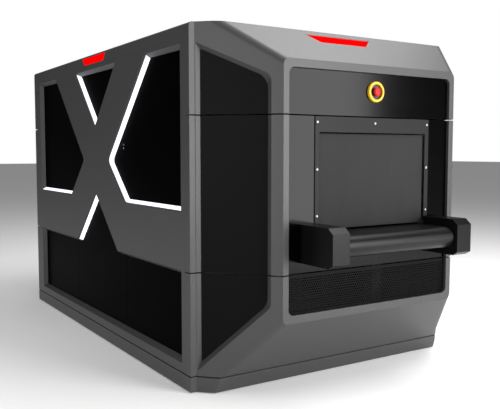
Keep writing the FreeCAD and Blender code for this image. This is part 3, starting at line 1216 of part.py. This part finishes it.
doc.recompute()
faults = []
for thing in doc.Objects:
    if "Invalid" in thing.State or "Error" in thing.State:
        faults.append(f"{thing.Name}: {thing.State}")
for name, thing in NODES.items():
    shape = thing.Shape
    if shape.isNull() or not shape.isValid() or not shape.Solids:
        faults.append(f"{name}: empty or invalid shape")
if faults:
    raise RuntimeError("\n".join(faults))

os.makedirs("parts", exist_ok=True)
for name, thing in NODES.items():
    thing.Shape.exportStep(f"parts/{name}.step")
    box = thing.Shape.BoundBox
    print(f"{name:24s} {len(thing.Shape.Solids):3d} solids {thing.Shape.Volume / 1e6:9.3f} dm3"
          f"  x {box.XMin:8.1f} {box.XMax:8.1f}  y {box.YMin:8.1f} {box.YMax:8.1f}  z {box.ZMin:7.1f} {box.ZMax:7.1f}")
print(len(NODES), "nodes")
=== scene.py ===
# %% [markdown]
# # A checkpoint CT scanner
# The machine comes in as a finished engineering model: every cover, roller and bearing already has its
# shape and its place.  This lesson gives those shapes their finishes, swaps a few small pieces for finer
# ones, and sets up a small studio.  Everything is in metres.  +Z is up, the belt runs along Y, bags go in
# at the -Y end.

# %% Load the machine
import math

import bmesh
import bpy
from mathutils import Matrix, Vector


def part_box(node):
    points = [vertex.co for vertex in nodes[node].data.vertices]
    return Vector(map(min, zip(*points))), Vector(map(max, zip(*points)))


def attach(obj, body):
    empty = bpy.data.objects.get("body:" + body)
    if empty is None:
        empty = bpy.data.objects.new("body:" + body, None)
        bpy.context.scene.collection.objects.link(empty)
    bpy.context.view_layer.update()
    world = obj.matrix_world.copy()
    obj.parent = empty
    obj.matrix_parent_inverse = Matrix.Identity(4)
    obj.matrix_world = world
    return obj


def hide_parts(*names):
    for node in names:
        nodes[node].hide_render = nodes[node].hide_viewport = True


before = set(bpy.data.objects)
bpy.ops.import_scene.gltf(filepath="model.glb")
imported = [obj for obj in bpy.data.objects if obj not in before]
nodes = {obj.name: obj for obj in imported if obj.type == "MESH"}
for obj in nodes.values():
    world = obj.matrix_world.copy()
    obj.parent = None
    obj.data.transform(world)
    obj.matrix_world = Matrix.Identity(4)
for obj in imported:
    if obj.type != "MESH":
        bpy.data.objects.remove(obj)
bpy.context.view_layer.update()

# %% [markdown]
# ## Writing shader sums as sums
# A Blender material is a web of nodes.  Joining Math nodes by hand hides what they work out, so one small
# class wraps an output socket and lets Python's own signs add the nodes: `1 - dust * 0.3` makes two Math
# nodes.  The reflected forms, such as `__rsub__`, are there so that a plain number may stand first.


# %% One wrapped socket
class Flow:
    """A value that flows from one node to the next."""

    def __init__(self, tree, socket):
        self.tree = tree
        self.socket = socket

    def sum_node(self, operation, *terms):
        node = self.tree.nodes.new("ShaderNodeMath")
        node.operation = operation
        for entry, term in zip(node.inputs, terms):
            feed(self.tree, entry, term)
        return Flow(self.tree, node.outputs[0])

    def __add__(self, other):
        return self.sum_node("ADD", self, other)

    def __sub__(self, other):
        return self.sum_node("SUBTRACT", self, other)

    def __rsub__(self, other):
        return self.sum_node("SUBTRACT", other, self)

    def __mul__(self, other):
        return self.sum_node("MULTIPLY", self, other)

    __radd__ = __add__
    __rmul__ = __mul__

    def held(self):
        """The same value, kept between 0 and 1."""
        node = self.tree.nodes.new("ShaderNodeClamp")
        feed(self.tree, node.inputs[0], self)
        return Flow(self.tree, node.outputs[0])


def feed(tree, entry, term):
    """Puts a link or a plain number on an input socket."""
    if isinstance(term, Flow):
        tree.links.new(term.socket, entry)
    elif isinstance(term, (tuple, list)) and len(term) == 3 and entry.type == "RGBA":
        entry.default_value = (*term, 1)
    else:
        entry.default_value = term


# %% [markdown]
# ## A finish
# A finish is one material with one Principled shader.  Numbers that are the same all over are set on the
# shader itself; only what really changes over the surface gets nodes.  One method, `node`, adds any kind of
# node: first its settings, then what goes into its sockets.


# %% One class for every finish
class Finish:
    """A material named for the maker's finish, with its Principled shader ready."""

    def __init__(self, name, **same_all_over):
        self.material = bpy.data.materials.new(name)
        self.material.use_nodes = True
        self.tree = self.material.node_tree
        self.shader = self.tree.nodes["Principled BSDF"]
        for entry, value in same_all_over.items():
            self.shader.inputs[entry.replace("_", " ")].default_value = value
        self.place = self.node("ShaderNodeTexCoord", out="Object")

    def node(self, kind, settings=None, sockets=None, out=0):
        """Any other node: its settings first, then what goes into its sockets, then which output is used."""
        made = self.tree.nodes.new(kind)
        for setting, value in (settings or {}).items():
            setattr(made, setting, value)
        for entry, term in (sockets or {}).items():
            feed(self.tree, made.inputs[entry], term)
        return Flow(self.tree, made.outputs[out])

    def set(self, entry, term):
        feed(self.tree, self.shader.inputs[entry], term)

    def noise(self, scale, detail=3.0, roughness=0.5, place=None):
        sockets = {"Vector": place or self.place, "Scale": scale, "Detail": detail, "Roughness": roughness}
        return self.node("ShaderNodeTexNoise", {"noise_dimensions": "3D"}, sockets, "Fac")

    def stretched(self, x, y, z):
        """The place on the piece, squeezed by a different amount along each axis."""
        return self.node("ShaderNodeVectorMath", {"operation": "MULTIPLY"}, {0: self.place, 1: (x, y, z)})

    def blend(self, amount, first, second):
        """A colour between two colours."""
        return self.node("ShaderNodeMix", {"data_type": "RGBA"}, {"Factor": amount, 6: first, 7: second}, 2)

    def relief(self, height, depth, strength, normal=None):
        sockets = {"Height": height, "Distance": depth, "Strength": strength}
        if normal:
            sockets["Normal"] = normal
        self.set("Normal", self.node("ShaderNodeBump", {}, sockets))

    def soft_edge(self, radius):
        """The surface direction as if each sharp edge were rounded to this radius."""
        return self.node("ShaderNodeBevel", {"samples": 6}, {"Radius": radius})

    def edge_mask(self, rounded, gain=6.0):
        """1 along sharp edges and 0 on flats, from how far the rounded direction leans from the true one."""
        straight = self.node("ShaderNodeNewGeometry", out="Normal")
        directions = {0: rounded, 1: straight}
        lean = self.node("ShaderNodeVectorMath", {"operation": "DOT_PRODUCT"}, directions, "Value")
        return ((1 - lean) * gain).held()


FINISHES = {}


def finish(name, **same_all_over):
    made = Finish(name, **same_all_over)
    FINISHES[name] = made
    return made


# %% [markdown]
# ## Cover paint
# The big covers are moulded shells with a fine textured paint, dark grey and hardly shiny.  Three things
# sell it: a very fine grain that breaks up highlights, a slow cloudiness over half a metre as from hand
# spraying, and edges that catch the light because no moulded edge is truly sharp.  The Bevel node fakes
# that rounding, and the same node marks edge patches that take the worn colour: partly paint rubbed thin,
# and on the dark covers, where that colour is paler, partly a painted highlight along the edges.


# %% Cover paint
def cover_paint(name, shade, worn, gloss=0.34, smooth=0.0):
    paint = finish(name, Roughness=0.46)
    paint.shader.inputs["Specular IOR Level"].default_value = gloss
    rounded = paint.soft_edge(0.003)
    rim = paint.edge_mask(rounded)
    cloud = paint.noise(2.2, 2.0)
    speck = paint.noise(900.0, 2.0)
    tone = (0.94 + cloud * 0.12) * (0.96 + speck * 0.08)
    base = paint.blend(tone - 0.5, tuple(c * 0.5 for c in shade), tuple(c * 1.5 for c in shade))
    # Edge patches take the worn colour: partly paint rubbed thin, partly a painted edge highlight where it is
    # paler.
    rubbed_and_highlit_edges = rim * (paint.noise(60.0, 4.0, 0.65) * 1.6 - 0.55).held()
    paint.set("Base Color", paint.blend(rubbed_and_highlit_edges * 0.5, base, worn))
    paint.set("Roughness", 0.37 - smooth + cloud * 0.06 + speck * 0.05)
    paint.relief(speck, 0.0002, 0.35, rounded)
    return paint


cover_grey = cover_paint("cover_grey_paint", (0.046, 0.046, 0.047), (0.12, 0.12, 0.124), 0.42)
housing_black = cover_paint("conveyor_housing_paint", (0.0045, 0.0045, 0.0047), (0.04, 0.04, 0.04),
                            0.14, 0.12)
frame_grey = cover_paint("frame_powder_coat", (0.11, 0.12, 0.14), (0.3, 0.3, 0.31))
trim_grey = cover_paint("tunnel_trim_paint", (0.014, 0.014, 0.0145), (0.08, 0.08, 0.08), 0.12)
motor_blue = cover_paint("motor_enamel", (0.03, 0.06, 0.13), (0.2, 0.2, 0.2))
shield_grey = cover_paint("lead_shield_paint", (0.3, 0.31, 0.33), (0.14, 0.14, 0.15))
tube_white = cover_paint("generator_enamel", (0.62, 0.62, 0.6), (0.3, 0.3, 0.3))
print(len(FINISHES), "paints")

# %% [markdown]
# ## Black panels
# The windows of the side covers and the end faces are backed by black sheet.  It is smooth, so what matters
# is its gloss: faint wiping marks and a little dust in the roughness, and an almost black colour.


# %% Black sheet
def black_sheet(name, roughness, gloss, shade=0.0022, bend=1.5):
    sheet = finish(name, IOR=bend)
    sheet.shader.inputs["Specular IOR Level"].default_value = gloss
    wiped = sheet.noise(3.0, 4.0, 0.6, sheet.stretched(1.0, 1.0, 7.0))
    dust = sheet.noise(160.0, 3.0, 0.7)
    dusty = (dust * 2.4 - 1.5).held() * (wiped * 1.5 - 0.4).held()
    sheet.set("Base Color", sheet.blend(dusty * 0.06, (shade, shade, shade * 1.05), (0.02, 0.02, 0.021)))
    sheet.set("Roughness", roughness + wiped * 0.05 + dusty * 0.12)
    sheet.relief(wiped, 0.0004, 0.08, sheet.soft_edge(0.0012))
    return sheet


side_black = black_sheet("side_window_black", 0.3, 0.2, 0.0006, 1.06)
inset_black = black_sheet("corner_inset_black", 0.34, 0.03, 0.005)
face_black = black_sheet("end_face_black", 0.12, 0.125, 0.0006)
grille_black = black_sheet("grille_black", 0.35, 0.06, 0.0018)

# %% [markdown]
# ## Light strips and status lamps
# The strips are milky plastic with a row of diodes behind, so the light is even but a shade stronger over
# each diode.  Emission carries the light; the body colour underneath is a pale plastic.  The lamps are red
# lenses with fine slanting flutes.


# %% Glowing pieces
def glowing(name, body, glow, strength, flutes, along):
    lens = finish(name, Roughness=0.6, IOR=1.05, Emission_Strength=strength)
    lens.shader.inputs["Specular IOR Level"].default_value = 0.05
    wave = lens.node("ShaderNodeTexWave", {"wave_type": "BANDS", "bands_direction": along},
                     {"Vector": lens.place, "Scale": flutes, "Distortion": 0.0}, "Fac")
    even = lens.noise(25.0, 2.0)
    share = 0.82 + wave * 0.14 + even * 0.08
    lens.set("Base Color", lens.blend(even, body, tuple(c * 0.9 for c in body)))
    lens.set("Emission Color", lens.blend(share.held(), tuple(c * 0.6 for c in glow), glow))
    lens.relief(wave, 0.0004, 0.3)
    return lens


strip_glow = glowing("light_strip_diffuser", (0.6, 0.6, 0.66), (0.9, 0.87, 1.0), 1.3, 30.0, "Y")
lamp_red = glowing("status_lamp_red", (0.22, 0.0, 0.0), (1.0, 0.0, 0.0), 0.95, 60.0, "DIAGONAL")

# %% [markdown]
# ## Rubber
# The belt is woven under a matt rubber face: a fine crossed pattern, polished in long streaks where bags
# slide.  The curtain is lead rubber, smoother and paler, with streaks where bags have rubbed it.


# %% Belt and curtain
def belt_rubber():
    belt = finish("belt_rubber")
    belt.shader.inputs["Specular IOR Level"].default_value = 0.2
    threads = {"Vector": belt.place, "Scale": 120.0}
    lengths = belt.node("ShaderNodeTexWave", {"bands_direction": "X"}, threads, "Fac")
    across = belt.node("ShaderNodeTexWave", {"bands_direction": "Y"}, threads, "Fac")
    weave = lengths * across
    worn = belt.noise(6.0, 3.0, 0.5, belt.stretched(1.0, 0.15, 1.0))
    belt.set("Base Color", belt.blend(worn * 0.7, (0.003, 0.003, 0.003), (0.009, 0.009, 0.009)))
    belt.set("Roughness", 0.36 - worn * 0.12 + weave * 0.05)
    belt.relief(weave, 0.0003, 0.4)
    return belt


def curtain_rubber():
    sheet = finish("curtain_lead_rubber")
    sheet.shader.inputs["Specular IOR Level"].default_value = 0.2
    streaks = sheet.noise(9.0, 4.0, 0.6, sheet.stretched(2.0, 1.0, 0.4))
    grain = sheet.noise(420.0, 2.0)
    sheet.set("Base Color", sheet.blend(streaks, (0.012, 0.012, 0.0125), (0.02, 0.02, 0.0205)))
    sheet.set("Roughness", 0.55 + grain * 0.12)
    sheet.relief(grain * 0.4 + streaks, 0.0006, 0.3, sheet.soft_edge(0.002))
    return sheet


belt_black = belt_rubber()
curtain_grey = curtain_rubber()

# %% [markdown]
# ## Metals
# Rollers are turned, so their scratches run round them; slider beds are rolled sheet, scratched along the
# belt; castings are grainy.  One function makes them all: the stretch decides which way the fine lines run.


# %% Metals
def metal(name, colour, roughness, stretch, scale, metallic=1.0, depth=0.00008):
    made = finish(name, Metallic=metallic)
    lines = made.noise(scale, 3.0, 0.6, made.stretched(*stretch))
    stain = made.noise(5.0, 3.0)
    made.set("Base Color", made.blend(lines * 0.5 + stain * 0.5, tuple(c * 0.72 for c in colour), colour))
    made.set("Roughness", roughness - 0.06 + lines * 0.12 + stain * 0.08)
    made.relief(lines, depth, 0.5, made.soft_edge(0.0008))
    return made


roller_steel = metal("turned_roller_steel", (0.1, 0.1, 0.102), 0.34, (60.0, 1.0, 1.0), 30.0)
sheet_steel = metal("rolled_sheet_steel", (0.56, 0.56, 0.58), 0.33, (60.0, 1.0, 60.0), 14.0)
zinc = metal("zinc_plate", (0.68, 0.69, 0.72), 0.3, (1.0, 1.0, 1.0), 260.0)
alloy = metal("machined_alloy", (0.74, 0.75, 0.77), 0.3, (1.0, 40.0, 1.0), 40.0)
cast_grey = metal("painted_casting", (0.2, 0.22, 0.25), 0.6, (1.0, 1.0, 1.0), 420.0, 0.0, 0.0004)
ring_brass = metal("slip_ring_brass", (0.78, 0.58, 0.24), 0.22, (1.0, 90.0, 1.0), 30.0)

# %% [markdown]
# ## Plastics
# Moulded plastic has a fine even grain and slightly uneven gloss.  The stop button's collar and head are
# the only strong colours on the machine apart from its lamps.


# %% Plastics
def moulded(name, colour, roughness, gloss=0.5):
    made = finish(name)
    made.shader.inputs["Specular IOR Level"].default_value = gloss
    grain = made.noise(500.0, 2.0)
    handled = made.noise(30.0, 3.0)
    made.set("Base Color", made.blend(handled * 0.35, colour, tuple(c * 0.8 for c in colour)))
    made.set("Roughness", roughness + handled * 0.1)
    made.relief(grain, 0.0001, 0.3, made.soft_edge(0.0012))
    return made


stop_yellow = moulded("stop_collar_yellow", (0.83, 0.52, 0.02), 0.35)
stop_red = moulded("stop_head_red", (0.5, 0.006, 0.006), 0.38, 0.25)
stop_black = moulded("stop_recess_black", (0.006, 0.006, 0.006), 0.4)
beam_sheet = moulded("beam_window_sheet", (0.55, 0.53, 0.46), 0.4)
liner_white = moulded("bore_liner_fibre", (0.6, 0.6, 0.58), 0.5)
print(len(FINISHES), "finishes")

# %% [markdown]
# ## Which piece gets which finish
# Every piece of the machine is named in one table.  A piece that is not in the table would stay plain, so
# the last line counts what is left over.

# %% Finish table
WORN_BY = {
    cover_grey: ["front_upper_shell", "front_middle_shell", "front_lower_shell", "rear_upper_shell",
                 "rear_middle_shell", "rear_lower_shell", "plinths", "roof_panel", "left_side_cover",
                 "right_side_cover"],
    side_black: ["left_side_panels", "right_side_panels"],
    inset_black: ["corner_insets"],
    face_black: ["front_face_panel", "rear_face_panel", "front_tunnel_panel", "rear_tunnel_panel"],
    grille_black: ["grilles"],
    strip_glow: ["light_strips"],
    lamp_red: ["status_lights"],
    trim_grey: ["tunnel_trims"],
    curtain_grey: ["front_curtain", "rear_curtain"],
    housing_black: ["front_conveyor_housings", "rear_conveyor_housings"],
    belt_black: ["conveyor_belt", "gantry_belt"],
    roller_steel: ["nose_roller", "drive_drum", "drum_stator", "front_return_roller", "rear_return_roller",
                   "nose_bearings", "motor_pulley", "gantry_bearing"],
    sheet_steel: ["bed_plates"],
    zinc: ["levelling_feet", "panel_locks", "trim_screws", "curtain_brackets", "roller_brackets"],
    alloy: ["conveyor_rails", "gantry_rotor", "detector_arc"],
    cast_grey: ["gantry_stand", "counterweight"],
    ring_brass: ["slip_ring"],
    stop_yellow: ["stop_collars"],
    stop_red: ["front_stop_button", "rear_stop_button"],
    beam_sheet: ["scan_window", "brush_block"],
    liner_white: ["bore_liner"],
    frame_grey: ["base_frame", "control_cabinet"],
    shield_grey: ["front_shield", "rear_shield"],
    tube_white: ["x_ray_tube", "hv_generator"],
    motor_blue: ["gantry_motor"],
}
finished = set()
for worn_finish, names in WORN_BY.items():
    for name in names:
        mesh = nodes[name].data
        mesh.materials.clear()
        mesh.materials.append(worn_finish.material)
        finished.add(name)
print("left without a finish:", sorted(set(nodes) - finished))

# %% [markdown]
# ## Turned pieces
# Screws, collars and buttons are all turned about one line.  A helper sweeps a profile, a list of (radius,
# height) points, round that line with bmesh, and closes it where the radius is 0.  A second helper hangs
# the finished mesh on the right moving body.


# %% Helpers for new pieces
def hexagon(angle):
    """How far out a hexagon's side lies at this angle, when its corners are at 1."""
    return math.cos(math.pi / 6) / math.cos((angle % (math.pi / 3)) - math.pi / 6)


def turned_ring(build, profile, centre, outward, steps, socket=()):
    """Adds a turned shape to a bmesh.

    Profile points are (radius, height along outward).  Socket points go on from the last of them as hexagons.
    """
    turn = Vector((0, 0, 1)).rotation_difference(Vector(outward)).to_matrix()
    rings = []
    for number, (radius, height) in enumerate([*profile, *socket]):
        ring = []
        for i in range(steps):
            angle = 2 * math.pi * i / steps
            reach = radius * hexagon(angle) if number >= len(profile) else radius
            spot = Vector((reach * math.cos(angle), reach * math.sin(angle), height))
            ring.append(build.verts.new(Vector(centre) + turn @ spot))
        rings.append(ring)
    for lower, upper in zip(rings, rings[1:]):
        for i in range(steps):
            j = (i + 1) % steps
            build.faces.new((lower[i], lower[j], upper[j], upper[i]))
    build.faces.new(rings[-1])
    build.faces.new(rings[0][::-1])


SMOOTH_BELOW = math.radians(35)


def new_piece(name, build, finish_used, body):
    """Turns a bmesh into a piece that rides on a body and wears the finish it is given."""
    bmesh.ops.recalc_face_normals(build, faces=build.faces)
    mesh = bpy.data.meshes.new(name)
    build.to_mesh(mesh)
    build.free()
    for face in mesh.polygons:
        face.use_smooth = True
    mesh.set_sharp_from_angle(angle=SMOOTH_BELOW)
    mesh.materials.append(finish_used.material)
    piece = bpy.data.objects.new(name, mesh)
    bpy.context.scene.collection.objects.link(piece)
    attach(piece, body)
    print(name, len(mesh.polygons), "faces")
    return piece


# %% [markdown]
# ## Trim screws
# Seven button-head screws hold each tunnel trim.  Each has a domed head and a hexagon socket, which is what
# catches the eye up close.  They all go into one mesh, built at the places the plain heads had.

# %% Trim screws
trim_low, trim_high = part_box("tunnel_trims")
screw_low, screw_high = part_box("trim_screws")
TUNNEL_X = (trim_low.x + trim_high.x) / 2
HEAD_RADIUS = 0.0055
HEAD = [(HEAD_RADIUS, 0.0), (HEAD_RADIUS, 0.0008), (0.0052, 0.0014), (0.0046, 0.0021), (0.0038, 0.0026),
        (0.0033, 0.0028)]
HEAD_SOCKET = [(0.0031, 0.0027), (0.0028, 0.0011)]
SCREW_HEIGHTS = (1.146, 0.948, 0.751)
SCREW_STEPS = 24
screws = bmesh.new()
for front in (-1, 1):
    face_y = front * trim_high.y
    columns = (screw_low.x + HEAD_RADIUS, screw_high.x - HEAD_RADIUS)
    places = [(side, z) for side in columns for z in SCREW_HEIGHTS]
    for x, z in places + [(TUNNEL_X, SCREW_HEIGHTS[0])]:
        turned_ring(screws, HEAD, (x, face_y, z), (0, front, 0), SCREW_STEPS, HEAD_SOCKET)
screws = new_piece("tunnel_trim_screws", screws, zinc, "cabinet")
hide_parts("trim_screws")

# %% [markdown]
# ## Emergency stop
# A yellow collar guards a red mushroom button.  The collar is a moulded ring with rounded lips and a dark
# well; the head is a shallow dome.  Each is turned from one smooth profile, the collar staying with the
# cabinet and the head riding on the button that moves.

# %% Stop collars and heads
COLLAR_TOP = 0.013
COLLAR = [(0.0335, 0.0002), (0.045, 0.0002), (0.045, 0.0082), (0.0446, 0.0102), (0.0436, 0.0118),
          (0.042, 0.0127), (0.0402, COLLAR_TOP), (0.0372, COLLAR_TOP), (0.0352, 0.0126), (0.0338, 0.0116),
          (0.0335, 0.01)]
WELL = [(0.0332, 0.0004), (0.0332, 0.0016), (0.0322, 0.0024), (0.0205, 0.003), (0.0102, 0.003),
        (0.0096, 0.0004)]
DOME = [(0.0089, -0.0258), (0.0089, 0.008), (0.0155, 0.0082), (0.0185, 0.009), (0.0197, 0.0108),
        (0.02, 0.013), (0.0197, 0.0155), (0.0186, 0.0178), (0.0165, 0.0197), (0.0135, 0.021),
        (0.0095, 0.0217), (0.005, 0.022), (0.0012, 0.022)]
COLLAR_STEPS = 64
DOME_STEPS = 56
collar_low, collar_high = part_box("stop_collars")
STOP_Z = (collar_low.z + collar_high.z) / 2
STOP_FACE = collar_high.y - COLLAR_TOP
collars = bmesh.new()
wells = bmesh.new()
for front in (-1, 1):
    centre = (TUNNEL_X, front * STOP_FACE, STOP_Z)
    turned_ring(collars, COLLAR, centre, (0, front, 0), COLLAR_STEPS)
    turned_ring(wells, WELL, centre, (0, front, 0), COLLAR_STEPS)
for build in (collars, wells):
    caps = [face for face in build.faces if len(face.verts) > 4]
    bmesh.ops.delete(build, geom=caps, context="FACES_ONLY")
collars = new_piece("stop_button_collars", collars, stop_yellow, "cabinet")
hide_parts("stop_collars")
new_piece("stop_button_wells", wells, stop_black, "cabinet")
for front, end in ((-1, "front"), (1, "rear")):
    head = bmesh.new()
    turned_ring(head, DOME, (TUNNEL_X, front * STOP_FACE, STOP_Z), (0, front, 0), DOME_STEPS)
    head = new_piece(end + "_stop_head", head, stop_red, "button_" + end)
    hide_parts(end + "_stop_button")

# %% [markdown]
# ## The studio
# A pale floor, an even white surround and four soft lights.  The key, a tall softbox ahead and to the
# right, does the shaping: the faces that look along the belt turn bright, and the long side stays calm.  A
# smaller one at the left lifts the slanted corner, one high at the right lights the sloping brow, and a
# wide one overhead fills.  The surround is bright where the camera sees it and dim as a light, so that it
# does not wash the blacks out.

# %% Floor and lights
scene = bpy.context.scene
floor_mesh = bpy.data.meshes.new("studio_floor")
FLOOR_HALF = 60
floor_corners = [(x * FLOOR_HALF, y * FLOOR_HALF, 0) for x, y in ((-1, -1), (1, -1), (1, 1), (-1, 1))]
floor_mesh.from_pydata(floor_corners, [], [(0, 1, 2, 3)])
floor = bpy.data.objects.new("studio_floor", floor_mesh)
scene.collection.objects.link(floor)
pale = finish("studio_floor_pale", Roughness=0.9)
pale.shader.inputs["Specular IOR Level"].default_value = 0.0
pale.shader.inputs["Emission Color"].default_value = (1, 1, 1, 1)
pale.shader.inputs["Emission Strength"].default_value = 0.13
pale.set("Base Color", pale.blend(pale.noise(0.8, 2.0), (0.94, 0.94, 0.94), (0.95, 0.95, 0.95)))
floor_mesh.materials.append(pale.material)


def softbox(name, place, aim, width, height, power):
    light = bpy.data.lights.new(name, "AREA")
    light.shape = "RECTANGLE"
    light.size = width
    light.size_y = height
    light.energy = power
    lamp = bpy.data.objects.new(name, light)
    lamp.location = place
    lamp.rotation_euler = (Vector(aim) - Vector(place)).to_track_quat("-Z", "Y").to_euler()
    scene.collection.objects.link(lamp)
    return lamp


softbox("key_softbox", (2.1, -5.2, 1.6), (2.1, 0.0, 1.6), 2.9, 3.1, 285)
softbox("left_softbox", (-4.9, -3.4, 1.5), (-0.6, -1.2, 0.9), 1.5, 2.6, 80)
softbox("brow_light", (1.8, -1.6, 4.8), (0.0, -1.2, 1.4), 3.8, 2.6, 160)
softbox("overhead", (0.0, -0.5, 5.5), (0.0, -0.5, 0.0), 7.0, 7.0, 200)

surround = bpy.data.worlds.new("white_surround")
surround.use_nodes = True
air = surround.node_tree
seen = air.nodes["Background"]
seen.inputs["Color"].default_value = (1, 1, 1, 1)
seen.inputs["Strength"].default_value = 1.0
filled = air.nodes.new("ShaderNodeBackground")
filled.inputs["Color"].default_value = (1, 1, 1, 1)
filled.inputs["Strength"].default_value = 0.12
choice = air.nodes.new("ShaderNodeMixShader")
path = air.nodes.new("ShaderNodeLightPath")
air.links.new(path.outputs["Is Camera Ray"], choice.inputs[0])
air.links.new(filled.outputs[0], choice.inputs[1])
air.links.new(seen.outputs[0], choice.inputs[2])
air.links.new(choice.outputs[0], air.nodes["World Output"].inputs[0])
scene.world = surround
scene.view_settings.view_transform = "Standard"

# %% [markdown]
# ## Camera
# A 50 mm lens a little above the belt, off the left front corner, so that the crossed side and the tunnel
# mouth both show.

# %% Camera
LOOKS_DOWN = 4.307
LOOKS_RIGHT = 32.58
view = bpy.data.cameras.new("corner_view")
view.lens = 50
view.sensor_width = 36
camera = bpy.data.objects.new("corner_view", view)
camera.location = (-2.035, -3.684, 1.020)
camera.rotation_euler = (math.radians(90 - LOOKS_DOWN), 0, math.radians(-LOOKS_RIGHT))
scene.collection.objects.link(camera)
scene.camera = camera
